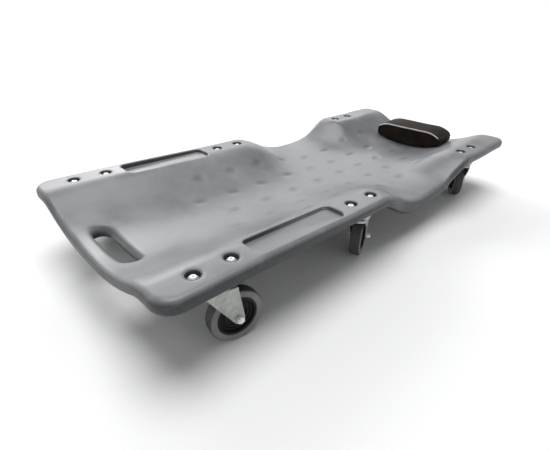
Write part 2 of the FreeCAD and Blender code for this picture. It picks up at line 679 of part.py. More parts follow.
def make_kingpin(prefix, place):
    """Rivet that holds the fork up to the plate, with its round head below the crown."""
    crown_floor = SIZE["crown_top"] - SIZE["crown_thickness"] - 0.2
    head = crown_floor - SIZE["kingpin_head_depth"]
    top = SIZE["flange_top"] - SIZE["deck_thickness"]
    section = [(0.0, head), ("0.7 * " + cell("kingpin_head_radius"), head), (cell("kingpin_head_radius"), crown_floor - 1.6),
               (cell("kingpin_head_radius"), crown_floor), (cell("kingpin_radius"), crown_floor),
               (cell("kingpin_radius"), top), (0.0, top)]
    body = turned(prefix + "_kingpin", "XZ_Plane", "V_Axis", section)
    body.Placement = Placement(place, Rotation())
    return body


def make_balls(prefix, place):
    """One ring of bearing balls between the plate's race and the fork's crown."""
    count = 12
    centre = (SIZE["flange_top"] - SIZE["deck_thickness"] - SIZE["plate_thickness"] - SIZE["race_depth"]
              + SIZE["ball_groove"] - SIZE["ball_radius"])
    balls = []
    for index in range(count):
        angle = 2.0 * math.pi * index / count
        ball = primitive("Part::Sphere", "%s_ball_%d" % (prefix, index), {"Radius": cell("ball_radius")})
        ball.Placement = Placement(place + Vector(SIZE["ball_pitch_radius"] * math.cos(angle),
                                                  SIZE["ball_pitch_radius"] * math.sin(angle), centre), Rotation())
        balls.append(ball)
    return balls


def make_castors():
    kingpins = []
    balls = []
    for row, kingpin_y, swings in CASTOR_ROWS:
        for side, sign in SIDES.items():
            prefix = "%s_%s" % (row, side)
            place = Vector(sign * SIZE["castor_x"], kingpin_y, 0)
            swung = Placement(place, Rotation(Vector(0, 0, 1), swings[side]))
            make_plate(prefix, place)
            make_fork(prefix, swung)
            make_sleeve(prefix, swung)
            make_axle_bolt(prefix, swung)
            make_axle_nut(prefix, swung)
            make_hub(prefix, swung)
            make_tyre(prefix, swung)
            kingpins.append(make_kingpin(prefix, place))
            balls += make_balls(prefix, place)
    finish(compound("kingpin_group", kingpins), "kingpins")
    finish(compound("swivel_ball_group", balls), "swivel_balls")


# ---------------------------------------------------------------- headrest

def piping_path():
    """Centre line of the piping along the pad's front top edge: level, then an arc down at either end."""
    level = SIZE["piping_level_half"]
    reach = SIZE["piping_half_width"] - level
    drop = SIZE["piping_drop"]
    bend = (reach ** 2 + drop ** 2) / (2.0 * drop)
    front = 0.5 * SIZE["piping_radius"] - SIZE["rest_half_depth"]
    top = SIZE["rest_crown"] - SIZE["rest_wedge"]
    place = rest_place()

    def point(across, down):
        return place.multVec(Vector(across, front, top - down))

    half_way = bend - math.sqrt(bend ** 2 - (0.5 * reach) ** 2)
    left = Part.Arc(point(-level - reach, drop), point(-level - 0.5 * reach, half_way), point(-level, 0.0))
    middle = Part.LineSegment(point(-level, 0.0), point(level, 0.0))
    right = Part.Arc(point(level, 0.0), point(level + 0.5 * reach, half_way), point(level + reach, drop))
    return Part.Wire([left.toShape(), middle.toShape(), right.toShape()])


def tube(radius):
    """Round tube along the piping's path."""
    path = piping_path()
    edge = path.Edges[0]
    start = edge.valueAt(edge.FirstParameter)
    direction = edge.tangentAt(edge.FirstParameter)
    ring = Part.Wire([Part.makeCircle(radius, start, direction)])
    return path.makePipeShell([ring], True, False)


def make_headrest(screw_holes):
    """Padded block whose underside follows the dish, with a stiff board inside and piping in front."""
    body = new_body("pad_block")
    sketch = new_sketch(body, "pad_front", "XZ_Plane")
    half = cell("rest_half_width")
    floor = 60.0
    crown = cell("rest_crown")
    polygon(sketch, [(half, floor), (half, cell("rest_shoulder")), ("0.93 * " + half, crown + " - 9"),
                     ("0.8 * " + half, crown + " - 3"), ("0.6 * " + half, crown),
                     ("-0.6 * " + half, crown), ("-0.8 * " + half, crown + " - 3"),
                     ("-0.93 * " + half, crown + " - 9"), ("-" + half, cell("rest_shoulder")),
                     ("-" + half, floor)])
    pad(body, sketch, "2 * " + cell("rest_half_depth"), reverse=True)
    place = rest_place()
    body.Placement = place.multiply(Placement(Vector(0, -SIZE["rest_half_depth"], 0), Rotation()))
    board = primitive("Part::Box", "board_block",
                      {"Length": "2 * " + cell("board_half_width"), "Width": "2 * " + cell("board_half_depth"),
                       "Height": cell("board_thickness")})
    corner = Vector(-SIZE["board_half_width"], -SIZE["board_half_depth"], SIZE["board_bottom"])
    board.Placement = place.multiply(Placement(corner, Rotation()))
    finish(cut("board_cut", board, fuse("board_screw_holes", screw_holes)), "headrest_board")

    below = solid_between(skin_surface(-SIZE["flange_top"], HANG_STATIONS),
                          skin_surface(SIZE["rest_gap"], SAG_STATIONS))
    deck_room = plain_feature("deck_room", below)
    piping_room = plain_feature("piping_room", tube(SIZE["piping_radius"] + 0.1))
    tools = fuse("pad_cutters", [deck_room, piping_room, board] + screw_holes)
    finish(cut("pad_cut", body, tools), "headrest_cushion")
    finish(plain_feature("piping_tube", tube(SIZE["piping_radius"])), "headrest_piping")

    screws = []
    for name, place in screw_places():
        under = skin_height(place.x, place.y, HANG_STATIONS) - SIZE["deck_thickness"]
        head = under - SIZE["screw_head_height"] - 1.6
        tip = SIZE["board_bottom"] + 0.9 * SIZE["board_thickness"]
        section = [(0.0, head), (cell("screw_head_radius"), head),
                   (cell("screw_head_radius"), head + SIZE["screw_head_height"]),
                   (cell("screw_radius"), head + SIZE["screw_head_height"]),
                   (cell("screw_radius"), tip - 3.0), (0.0, tip)]
        screw = turned("screw_" + name, "XZ_Plane", "V_Axis", section)
        screw.Placement = Placement(place, Rotation())
        screws.append(screw)
    finish(compound("headrest_screw_group", screws), "headrest_screws")


# ---------------------------------------------------------------- build, check and write

headrest_screw_holes = screw_cutters()
make_deck(headrest_screw_holes)
make_deck_bolts()
make_cup_washers()
make_lock_nuts()
make_castors()
make_headrest(headrest_screw_holes)
document.recompute()

problems = [item.Name for item in document.Objects if {"Invalid", "Error"} & set(item.State)]
for item in finished:
    if item.Shape.isNull() or not item.Shape.isValid():
        problems.append(item.Label)
if problems:
    raise RuntimeError("failed: " + ", ".join(problems))
for item in finished:
    item.Shape.exportStep("parts/%s.step" % item.Label)
    box = item.Shape.BoundBox
    print("%-24s %9.1f cm3  x %7.1f..%7.1f  y %7.1f..%7.1f  z %6.1f..%6.1f" % (
        item.Label, item.Shape.Volume / 1000.0, box.XMin, box.XMax, box.YMin, box.YMax, box.ZMin, box.ZMax))
print("nodes", len(finished))
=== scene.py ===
import json
import math

import bmesh
import bpy
from mathutils import Matrix, Vector, geometry, noise


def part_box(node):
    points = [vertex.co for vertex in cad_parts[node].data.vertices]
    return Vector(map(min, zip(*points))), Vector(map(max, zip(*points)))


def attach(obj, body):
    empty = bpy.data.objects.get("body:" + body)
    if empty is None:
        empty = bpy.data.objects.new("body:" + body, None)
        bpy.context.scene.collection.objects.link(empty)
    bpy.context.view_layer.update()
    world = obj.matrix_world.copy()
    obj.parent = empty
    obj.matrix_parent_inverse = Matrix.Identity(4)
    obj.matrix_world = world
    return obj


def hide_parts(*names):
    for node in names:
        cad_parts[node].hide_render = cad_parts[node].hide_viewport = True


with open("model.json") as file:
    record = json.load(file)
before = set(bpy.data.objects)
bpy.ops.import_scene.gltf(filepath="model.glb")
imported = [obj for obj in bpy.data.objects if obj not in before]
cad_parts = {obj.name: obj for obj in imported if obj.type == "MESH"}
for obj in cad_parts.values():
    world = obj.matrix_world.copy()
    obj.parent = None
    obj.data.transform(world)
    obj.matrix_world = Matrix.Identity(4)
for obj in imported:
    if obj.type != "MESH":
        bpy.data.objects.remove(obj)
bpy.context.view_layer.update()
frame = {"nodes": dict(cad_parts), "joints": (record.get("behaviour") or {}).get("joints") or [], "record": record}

# Looks for the mechanics creeper. Everything is in metres, in the CAD model's frame:
# origin on the floor under the middle of the deck, +Y towards the head end, +Z up.

MM = 0.001
ROOT = "deck_frame"
ROWS = ("foot", "mid", "head")
SIDES = ("right", "left")
CASTORS = [row + "_" + side for row in ROWS for side in SIDES]

# ---------------------------------------------------------------- the deck's shape
# The CAD model's, except that the top skin bends more softly between dish and flange.

DECK_LOW, DECK_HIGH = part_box("deck")
HALF_LENGTH = DECK_HIGH.y
HALF_WIDTH = DECK_HIGH.x
FLANGE_TOP = 133.5 * MM
THICKNESS = 25 * MM
DISH_HALF_WIDTH = 165 * MM
DISH_POWER = 2.2
DISH_BLEND = 0.1
TOP_BLEND = 0.13
WAIST_BLEND = 0.17
WAIST_INSET = 6 * MM
WAIST_START = -50 * MM
WAIST_END = 215 * MM
WAIST_RUN = 70 * MM
FOOT_CORNER = 32 * MM
HEAD_CORNER = 24 * MM
EDGE_ROUND = 10 * MM

# stations along the deck in millimetres: the dish's depth, the flanks' drop, and how far the flanks of the
# top skin and of the bottom skin are lowered besides
DISH_STATIONS = ((-515, 36), (-470, 43), (-350, 54), (-100, 61), (150, 60), (300, 57), (404, 51.5), (515, 43))
FLANK_STATIONS = ((-515, 0), (-61, 0), (-42, 4), (-22, 13), (0, 24), (22, 35), (45, 43), (71, 49), (97, 51.8),
                  (125, 51.3), (150, 50), (175, 47), (200, 41.5), (223, 31), (250, 15.5), (271, 5), (292, 0),
                  (382, 0), (450, -2.5), (515, -2.5))
SAG_STATIONS = ((-515, 0), (-400, 0), (-100, 4), (-60, 3.8), (-5, -2.2), (65, -2.4), (150, -1.5), (228, -2),
                (280, 0), (515, 0))
HANG_STATIONS = ((-515, 0), (-62, 0), (-40, 4), (0, 7), (75, 6), (120, 3), (200, 1), (260, 0), (515, 0))

SLOT_MIDDLE = Vector((0.0, -468.6 * MM))
SLOT_REACH = 50.5 * MM
SLOT_RADIUS = 15.5 * MM
TRAY_INNER = 171.5 * MM
TRAY_OUTER = 218 * MM
TRAY_FOOT = -358 * MM
TRAY_HEAD = -170 * MM
TRAY_CORNER = 12 * MM
TRAY_DEPTH = 10.5 * MM
RECESS_RADIUS = 12 * MM
RECESS_DEPTH = 9.5 * MM


def through_stations(stations, along):
    """A smooth curve through stations that never overshoots them."""
    places = [station[0] * MM for station in stations]
    values = [station[1] * MM for station in stations]
    if along <= places[0]:
        return values[0]
    if along >= places[-1]:
        return values[-1]
    spans = [b - a for a, b in zip(places, places[1:])]
    rises = [(b - a) / span for a, b, span in zip(values, values[1:], spans)]
    slopes = [rises[0]]
    for left, right in zip(rises, rises[1:]):
        slopes.append(0.0 if left * right <= 0 else 2.0 * left * right / (left + right))
    slopes.append(rises[-1])
    index = max(i for i in range(len(spans)) if places[i] <= along)
    t = (along - places[index]) / spans[index]
    return ((2 * t ** 3 - 3 * t ** 2 + 1) * values[index]
            + (t ** 3 - 2 * t ** 2 + t) * spans[index] * slopes[index]
            + (3 * t ** 2 - 2 * t ** 3) * values[index + 1]
            + (t ** 3 - t ** 2) * spans[index] * slopes[index + 1])


def crease(along):
    """Half the width of the top's bend between dish and flange: soft, and softest beside the waist."""
    waist = smooth_step((along + 40 * MM) / (80 * MM)) * smooth_step((320 * MM - along) / (90 * MM))
    return TOP_BLEND + WAIST_BLEND * waist


def dish_rise(across, blend):
    """How far the dish has risen from its middle (0) to its flange (1)."""
    u = abs(across) / DISH_HALF_WIDTH
    low = 1.0 - blend
    high = 1.0 + blend
    if u <= low:
        return u ** DISH_POWER
    if u >= high:
        return 1.0
    t = (u - low) / (high - low)
    slope = DISH_POWER * low ** (DISH_POWER - 1.0) * (high - low)
    return ((2 * t ** 3 - 3 * t ** 2 + 1) * low ** DISH_POWER + (t ** 3 - 2 * t ** 2 + t) * slope
            + (3 * t ** 2 - 2 * t ** 3))


def top_skin(across, along):
    middle = through_stations(DISH_STATIONS, along)
    flank = through_stations(FLANK_STATIONS, along) + through_stations(SAG_STATIONS, along)
    return FLANGE_TOP - middle + (middle - flank) * dish_rise(across, crease(along))


def bottom_skin(across, along):
    middle = through_stations(DISH_STATIONS, along)
    flank = through_stations(FLANK_STATIONS, along) + through_stations(HANG_STATIONS, along)
    return FLANGE_TOP - THICKNESS - middle + (middle - flank) * dish_rise(across, DISH_BLEND)


def smooth_step(value):
    t = min(1.0, max(0.0, value))
    return t * t * (3.0 - 2.0 * t)


def half_width(along):
    """The deck's half width: a slight waist beside the sitter."""
    into = smooth_step((along - WAIST_START) / WAIST_RUN)
    out = smooth_step((along - WAIST_END) / WAIST_RUN)
    return HALF_WIDTH - WAIST_INSET * (into - out)


DIMPLE_STEP = 81 * MM
DIMPLE_COLUMN = 60 * MM
DIMPLE_START = 10 * MM
DIMPLE_LOW = -300 * MM
DIMPLE_HIGH = 345 * MM
DIMPLE_HALF_LENGTH = 20 * MM
DIMPLE_HALF_WIDTH = 12 * MM
DIMPLE_DEPTH = 1.1 * MM
DIMPLE_DRAW = 2.5 * MM
RIPPLE_BROAD = 0.55 * MM
RIPPLE_FINE = 0.16 * MM


def dimple_places():
    """Middles of the moulded tack-off dimples: columns along the deck, every other column half a step on."""
    places = []
    for column in range(-2, 3):
        shift = DIMPLE_STEP / 2 if column % 2 else 0.0
        for row in range(-4, 5):
            along = DIMPLE_START + row * DIMPLE_STEP + shift
            if DIMPLE_LOW < along < DIMPLE_HIGH:
                places.append((column * DIMPLE_COLUMN, along))
    return places


DIMPLES = dimple_places()


def dimple_share(across, along):
    """1 in the middle of a dimple, falling smoothly to 0 at its border."""
    share = 0.0
    for x, y in DIMPLES:
        if abs(across - x) < DIMPLE_HALF_WIDTH and abs(along - y) < DIMPLE_HALF_LENGTH:
            u = (across - x) / DIMPLE_HALF_WIDTH
            v = (along - y) / DIMPLE_HALF_LENGTH
            share = max(share, smooth_step(1.25 * (1.0 - math.sqrt(u * u + v * v))))
    return share


def ripple(across, along):
    """The slight unevenness of a blow-moulded skin, in metres."""
    broad = noise.noise(Vector((across * 9.0, along * 6.0, 3.1)))
    fine = noise.noise(Vector((across * 26.0, along * 20.0, 7.7)))
    return RIPPLE_BROAD * broad + RIPPLE_FINE * fine


def moulded_top(across, along):
    """The top skin with its dimples and ripple, the ripple fading out towards the edges."""
    fade = smooth_step((outline_depth(across, along) - EDGE_ROUND) / (20 * MM))
    dimple = DIMPLE_DEPTH * dimple_share(across, along)
    return top_skin(across, along) - dimple + fade * ripple(across, along)


def moulded_bottom(across, along):
    """The bottom skin, drawn up into shallow hollows behind the top's dimples."""
    return bottom_skin(across, along) + DIMPLE_DRAW * dimple_share(across, along)


# ---------------------------------------------------------------- plan curves as (point, outward normal)

def arc_points(centre, radius, start, sweep, steps):
    points = []
    for index in range(steps):
        angle = start + sweep * index / steps
        outward = Vector((math.cos(angle), math.sin(angle)))
        points.append((centre + radius * outward, outward))
    return points


def straight_points(start, end, outward, steps):
    return [(start.lerp(end, index / steps), outward) for index in range(steps)]


def deck_outline():
    """The deck's plan, anticlockwise from the left end of the foot edge."""
    quarter = math.pi / 2
    foot_x = HALF_WIDTH - FOOT_CORNER
    head_x = HALF_WIDTH - HEAD_CORNER
    points = straight_points(Vector((-foot_x, -HALF_LENGTH)), Vector((foot_x, -HALF_LENGTH)),
                             Vector((0, -1)), 84)
    points += arc_points(Vector((foot_x, -HALF_LENGTH + FOOT_CORNER)), FOOT_CORNER, -quarter, quarter, 14)
    side = []
    steps = 200
    low = -HALF_LENGTH + FOOT_CORNER
    high = HALF_LENGTH - HEAD_CORNER
    for index in range(steps):
        along = low + (high - low) * index / steps
        slope = (half_width(along + MM) - half_width(along - MM)) / (2 * MM)
        side.append((Vector((half_width(along), along)), Vector((1.0, -slope)).normalized()))
    points += side
    points += arc_points(Vector((head_x, HALF_LENGTH - HEAD_CORNER)), HEAD_CORNER, 0.0, quarter, 12)
    points += straight_points(Vector((head_x, HALF_LENGTH)), Vector((-head_x, HALF_LENGTH)),
                              Vector((0, 1)), 88)
    points += arc_points(Vector((-head_x, HALF_LENGTH - HEAD_CORNER)), HEAD_CORNER, quarter, quarter, 12)
    top_left = (Vector((-half_width(high), high)), Vector((-1, 0)))
    left = [(Vector((-p.x, p.y)), Vector((-n.x, n.y))) for p, n in reversed(side[1:])]
    points += [top_left] + left
    points += arc_points(Vector((-foot_x, -HALF_LENGTH + FOOT_CORNER)), FOOT_CORNER, 2 * quarter, quarter, 14)
    return points


def rounded_rectangle(low, high, radius, per_corner, spacing):
    """Anticlockwise plan of a rectangle with round corners."""
    points = []
    corners = ((Vector((high.x - radius, low.y + radius)), -0.5),
               (Vector((high.x - radius, high.y - radius)), 0.0),
               (Vector((low.x + radius, high.y - radius)), 0.5),
               (Vector((low.x + radius, low.y + radius)), 1.0))
    for index, (centre, turn) in enumerate(corners):
        points += arc_points(centre, radius, turn * math.pi, 0.5 * math.pi, per_corner)
        outward = Vector((math.cos((turn + 0.5) * math.pi), math.sin((turn + 0.5) * math.pi)))
        start = centre + radius * outward
        end = corners[(index + 1) % 4][0] + radius * outward
        gap = (end - start).length
        if gap > 0.01 * MM:
            points += straight_points(start, end, outward, max(1, round(gap / spacing)))
    return points


def circle_plan(centre, radius, steps):
    return arc_points(centre, radius, 0.0, 2 * math.pi, steps)


def offset(plan, distance):
    """The plan moved outwards by a distance."""
    return [point + normal * distance for point, normal in plan]


# ---------------------------------------------------------------- mesh helpers

def placed(name, data):
    """A new object in the scene."""
    piece = bpy.data.objects.new(name, data)
    bpy.context.scene.collection.objects.link(piece)
    return piece


class Shell:
    """Collects rings, bands and fields of triangles into one mesh."""

    def __init__(self):
        self.vertices = []
        self.faces = []

    def ring(self, plan_points, height):
        start = len(self.vertices)
        for point in plan_points:
            self.vertices.append((point.x, point.y, height(point.x, point.y)))
        return list(range(start, len(self.vertices)))

    def band(self, first, second):
        """Quads between two rings of equal count; the first ring is above or outside."""
        count = len(first)
        for index in range(count):
            after = (index + 1) % count
            self.faces.append((first[index], second[index], second[after], first[after]))

    def bands(self, rings, turned_over=False):
        """Quads along a chain of rings, turned over where the chain lines a hole or runs up or outwards."""
        for first, second in zip(rings, rings[1:]):
            if turned_over:
                self.band(second, first)
            else:
                self.band(first, second)

    def field(self, boundary, holes, inside, height, spacing, clearance, upward):
        """Fill the plan between a boundary ring and hole rings with a near-regular grid of triangles."""
        rings = [boundary] + holes
        plan = []
        owner = []
        edges = []
        for ring in rings:
            start = len(plan)
            for vertex in ring:
                plan.append(Vector(self.vertices[vertex][:2]))
                owner.append(vertex)
            edges += [(start + i, start + (i + 1) % len(ring)) for i in range(len(ring))]
        low_x = min(p.x for p in plan)
        high_x = max(p.x for p in plan)
        low_y = min(p.y for p in plan)
        high_y = max(p.y for p in plan)
        row_height = spacing * math.sqrt(3) / 2
        rows = int((high_y - low_y) / row_height)
        columns = int((high_x - low_x) / spacing)
        for row in range(1, rows):
            along = low_y + row * row_height
            for column in range(columns + 1):
                across = low_x + (column + 0.5 * (row % 2)) * spacing
                if inside(across, along, clearance):
                    plan.append(Vector((across, along)))
                    owner.append(len(self.vertices))
                    self.vertices.append((across, along, height(across, along)))
        points, _, triangles, sources, _, _ = geometry.delaunay_2d_cdt(plan, edges, [], 0, 1e-6)
        lookup = [owner[source[0]] for source in sources]
        for triangle in triangles:
            middle = (points[triangle[0]] + points[triangle[1]] + points[triangle[2]]) / 3
            if inside(middle.x, middle.y, 0.0):
                corners = tuple(lookup[i] for i in triangle)
                self.faces.append(corners if upward else tuple(reversed(corners)))

    def build(self, name, material):
        mesh = bpy.data.meshes.new(name)
        mesh.from_pydata(self.vertices, [], self.faces)
        mesh.validate()
        mesh.materials.append(material)
        for polygon in mesh.polygons:
            polygon.use_smooth = True
        return placed(name, mesh)


def round_steps(radius, steps, start=0.0, end=90.0):
    """(sideways, down) along a quarter round, from flat top to upright side."""
    result = []
    for index in range(steps + 1):
        angle = math.radians(start + (end - start) * index / steps)
        result.append((radius * math.sin(angle), radius * (1.0 - math.cos(angle))))
    return result


# ---------------------------------------------------------------- features, and how far a place is from them

def outline_depth(across, along):
    """How far a plan point lies inside the deck's outline (close to the true distance near the edge)."""
    from_end = HALF_LENGTH - abs(along)
    from_side = half_width(along) - abs(across)
    corner = FOOT_CORNER if along < 0 else HEAD_CORNER
    if from_end < corner and from_side < corner:
        return corner - math.hypot(corner - from_end, corner - from_side)
    return min(from_end, from_side)


def rectangle_gap(across, along, low, high, radius):
    """Signed distance from a round-cornered rectangle, negative inside it."""
    dx = max(low.x - across, across - high.x) + radius
    dy = max(low.y - along, along - high.y) + radius
    return math.hypot(max(dx, 0.0), max(dy, 0.0)) + min(max(dx, dy), 0.0) - radius


TRAYS = [(Vector((TRAY_INNER, TRAY_FOOT)), Vector((TRAY_OUTER, TRAY_HEAD))),
         (Vector((-TRAY_OUTER, TRAY_FOOT)), Vector((-TRAY_INNER, TRAY_HEAD)))]
SLOT_LOW = SLOT_MIDDLE - Vector((SLOT_REACH + SLOT_RADIUS, SLOT_RADIUS))
SLOT_HIGH = SLOT_MIDDLE + Vector((SLOT_REACH + SLOT_RADIUS, SLOT_RADIUS))
TRAY_LIP = 3.5 * MM
TRAY_DRAFT = 1.2 * MM
TRAY_FOOT_ROUND = 2.5 * MM
SLOT_LIP = 9 * MM
RECESS_LIP = 1.2 * MM
BOLT_HALF_SPACING = 29.6 * MM


def bolt_middles():
    """Plan places of the deck bolts, from the castor plates."""
    middles = []
    for castor in CASTORS:
        low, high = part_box(castor + "_castor_plate")
        middle = (low + high) / 2
        for side in (-1, 1):
            middles.append(Vector((middle.x, middle.y + side * BOLT_HALF_SPACING)))
    return middles


BOLTS = bolt_middles()


def inside_top(across, along, clearance):
    """True on the open top skin, clear of the edge band and of every feature's band."""
    if outline_depth(across, along) < EDGE_ROUND + clearance:
        return False
    for low, high in TRAYS:
        if rectangle_gap(across, along, low, high, TRAY_CORNER) < TRAY_LIP + clearance:
            return False
    if rectangle_gap(across, along, SLOT_LOW, SLOT_HIGH, SLOT_RADIUS) < SLOT_LIP + clearance:
        return False
    reach = RECESS_RADIUS + RECESS_LIP + clearance
    return all((across - b.x) ** 2 + (along - b.y) ** 2 > reach ** 2 for b in BOLTS)


def inside_bottom(across, along, clearance):
    if outline_depth(across, along) < EDGE_ROUND + clearance:
        return False
    return rectangle_gap(across, along, SLOT_LOW, SLOT_HIGH, SLOT_RADIUS) > SLOT_LIP + clearance


# ---------------------------------------------------------------- materials

def new_material(name):
    material = bpy.data.materials.new(name)
    material.use_nodes = True
    tree = material.node_tree
    return material, tree, tree.nodes["Principled BSDF"]


def link(tree, source, output, target, socket):
    tree.links.new(source.outputs[output], target.inputs[socket])


def object_space(tree, scale=(1.0, 1.0, 1.0)):
    """Object coordinates, stretched by a mapping."""
    coordinates = tree.nodes.new("ShaderNodeTexCoord")
    mapping = tree.nodes.new("ShaderNodeMapping")
    mapping.inputs["Scale"].default_value = scale
    link(tree, coordinates, "Object", mapping, "Vector")
    return mapping


def painted(tree, name):
    """A value stored on the mesh's points."""
    node = tree.nodes.new("ShaderNodeAttribute")
    node.attribute_name = name
    return node


def noise_node(tree, space, scale, detail=3.0, rough=0.5):
    node = tree.nodes.new("ShaderNodeTexNoise")
    node.inputs["Scale"].default_value = scale
    node.inputs["Detail"].default_value = detail
    node.inputs["Roughness"].default_value = rough
    link(tree, space, "Vector", node, "Vector")
    return node


def ramp(tree, source, output, stops):
    """A colour ramp over a grey value; stops are (place, colour)."""
    node = tree.nodes.new("ShaderNodeValToRGB")
    elements = node.color_ramp.elements
    while len(elements) < len(stops):
        elements.new(0.5)
    for element, (place, colour) in zip(elements, stops):
        element.position = place
        element.color = (*colour, 1.0) if len(colour) == 3 else colour
    link(tree, source, output, node, "Fac")
    return node


def grey(value):
    return (value, value, value)


def blend_colours(tree, factor, factor_output, first, first_output, second):
    """Mix a colour over another by a grey factor; second is a plain colour."""
    node = tree.nodes.new("ShaderNodeMix")
    node.data_type = "RGBA"
    tree.links.new(factor.outputs[factor_output], node.inputs[0])
    tree.links.new(first.outputs[first_output], node.inputs[6])
    node.inputs[7].default_value = (*second, 1.0)
    return node


def rough_and_bump(tree, shader, height, output, strength, distance, rough_source, low, high):
    """Roughness that varies between two values, and a bump from a height."""
    spread = tree.nodes.new("ShaderNodeMapRange")
    spread.inputs["From Min"].default_value = 0.3
    spread.inputs["From Max"].default_value = 0.7
    spread.inputs["To Min"].default_value = low
    spread.inputs["To Max"].default_value = high
    link(tree, rough_source, "Fac", spread, "Value")
    link(tree, spread, "Result", shader, "Roughness")
    bump = tree.nodes.new("ShaderNodeBump")
    bump.inputs["Strength"].default_value = strength
    bump.inputs["Distance"].default_value = distance
    link(tree, height, output, bump, "Height")
    link(tree, bump, "Normal", shader, "Normal")


def deck_plastic():
    """Dark grey polyethylene in a mottled tone, with painted shade darkening its steep sides and its dimples."""
    material, tree, shader = new_material("deck_polyethylene")
    space = object_space(tree)
    streaks = object_space(tree, (26.0, 5.0, 26.0))
    mottle = noise_node(tree, space, 11.0, 5.0, 0.6)
    mottled_tone = ramp(tree, mottle, "Fac", [(0.3, (0.116, 0.120, 0.128)), (0.7, (0.194, 0.197, 0.206))])
    # Painted shade: steep faces blend towards near black, so the deck's sides and steep slopes read unlit.
    steep_face_shade = painted(tree, "steep_face_shade")
    base = blend_colours(tree, steep_face_shade, "Fac", mottled_tone, "Color", (0.018, 0.021, 0.022))
    # Painted shade in the dimples.
    dimple_shade = painted(tree, "dimple_shade")
    dark = ramp(tree, dimple_shade, "Fac", [(0.0, grey(0.0)), (1.0, grey(0.45))])
    shaded = blend_colours(tree, dark, "Color", base, 2, (0.055, 0.062, 0.068))
    worn = painted(tree, "worn")
    patches = noise_node(tree, space, 38.0, 5.0, 0.7)
    patch_mask = ramp(tree, patches, "Fac", [(0.55, grey(0.0)), (0.75, grey(0.35))])
    wear = tree.nodes.new("ShaderNodeMath")
    wear.operation = "MULTIPLY"
    link(tree, worn, "Fac", wear, 0)
    link(tree, patch_mask, "Color", wear, 1)
    rubbed = blend_colours(tree, wear, "Value", shaded, 2, (0.27, 0.28, 0.29))
    scratches = noise_node(tree, streaks, 3.4, 6.0, 0.75)
    scratch_mask = ramp(tree, scratches, "Fac", [(0.63, grey(0.0)), (0.73, grey(0.32))])
    scuffed = blend_colours(tree, scratch_mask, "Color", rubbed, 2, (0.3, 0.31, 0.32))
    link(tree, scuffed, 2, shader, "Base Color")
    grain = noise_node(tree, space, 620.0, 2.0)
    rough_and_bump(tree, shader, grain, "Fac", 0.16, 0.0004, mottle, 0.3, 0.42)
    return material


def clouded(name, low, high, scale, detail=4.0, stretch=(1.0, 1.0, 1.0)):
    """A new material with a cloud of noise, and a colour that wanders with it, not yet linked."""
    material, tree, shader = new_material(name)
    space = object_space(tree, stretch)
    cloud = noise_node(tree, space, scale, detail, 0.6)
    colour = ramp(tree, cloud, "Fac", [(0.35, low), (0.65, high)])
    return material, tree, shader, space, cloud, colour


def mottled(name, low, high, scale, rough_low, rough_high, grain_scale, grain_strength, metallic=0.0,
            gloss=0.5):
    """A material whose colour and roughness wander between two values over a fine grain."""
    material, tree, shader, space, cloud, colour = clouded(name, low, high, scale)
    link(tree, colour, "Color", shader, "Base Color")
    shader.inputs["Metallic"].default_value = metallic
    shader.inputs["Specular IOR Level"].default_value = gloss
    grain = noise_node(tree, space, grain_scale, 3.0)
    rough_and_bump(tree, shader, grain, "Fac", grain_strength, 0.0004, cloud, rough_low, rough_high)
    return material


def tyre_rubber():
    """Grey rubber, darker where it runs on the floor."""
    material, tree, shader, space, cloud, side = clouded(
        "tyre_rubber", (0.125, 0.123, 0.119), (0.18, 0.177, 0.171), 45.0)
    tread = painted(tree, "tread")
    colour = blend_colours(tree, tread, "Fac", side, "Color", (0.04, 0.04, 0.038))
    link(tree, colour, 2, shader, "Base Color")
    grain = noise_node(tree, space, 800.0, 3.0)
    rough_and_bump(tree, shader, grain, "Fac", 0.3, 0.0004, cloud, 0.6, 0.8)
    return material


def leather_cloth(name, low, high):
    """Vinyl with a pebbled leather grain."""
    material, tree, shader, space, cloud, colour = clouded(name, low, high, 24.0)
    link(tree, colour, "Color", shader, "Base Color")
    pebble = tree.nodes.new("ShaderNodeTexVoronoi")
    pebble.inputs["Scale"].default_value = 620.0
    link(tree, space, "Vector", pebble, "Vector")
    shader.inputs["Specular IOR Level"].default_value = 0.07
    rough_and_bump(tree, shader, pebble, "Distance", 0.35, 0.0005, cloud, 0.5, 0.64)
    return material


def plywood():
    material, tree, shader, _, rings, colour = clouded(
        "plywood", (0.26, 0.16, 0.08), (0.46, 0.33, 0.19), 22.0, 6.0, (1.0, 9.0, 40.0))
    link(tree, colour, "Color", shader, "Base Color")
    rough_and_bump(tree, shader, rings, "Fac", 0.3, 0.0006, rings, 0.6, 0.75)
    return material


PLASTIC = deck_plastic()
BLACK = mottled("black_plastic", grey(0.006), grey(0.011), 60.0, 0.4, 0.52, 700.0, 0.12, 0.0, 0.2)
# The recess washers' plastic, lighter than the black plastic so they don't go black in their recesses' shade:
# painted light.
CUP = mottled("cup_plastic", (0.05, 0.055, 0.062), (0.07, 0.076, 0.084), 60.0, 0.34, 0.48, 700.0, 0.12)
ZINC = mottled("zinc_plate", (0.3, 0.315, 0.295), (0.42, 0.43, 0.41), 90.0, 0.32, 0.48, 900.0, 0.12, 1.0)
# Painted highlight: a pale, half-metallic copy of the zinc, so bolt heads and axle nuts read as catching the
# light.
ZINC_LIT = mottled("zinc_lit_copy", grey(0.74), grey(0.88), 90.0, 0.3, 0.42, 900.0, 0.1, 0.45)
STEEL = mottled("bearing_steel", grey(0.5), grey(0.62), 80.0, 0.16, 0.26, 900.0, 0.05, 1.0)
RUBBER = tyre_rubber()
VINYL = leather_cloth("vinyl", (0.013, 0.0095, 0.0075), (0.024, 0.018, 0.0145))
PIPING = mottled("piping", (0.42, 0.4, 0.39), (0.56, 0.54, 0.52), 120.0, 0.36, 0.5, 900.0, 0.15)
WOOD = plywood()
MATERIALS = {"deck_plastic": PLASTIC, "zinc": ZINC, "bearing_steel": STEEL, "black_plastic": BLACK,
             "tyre_rubber": RUBBER, "vinyl": VINYL, "piping": PIPING, "board": WOOD}


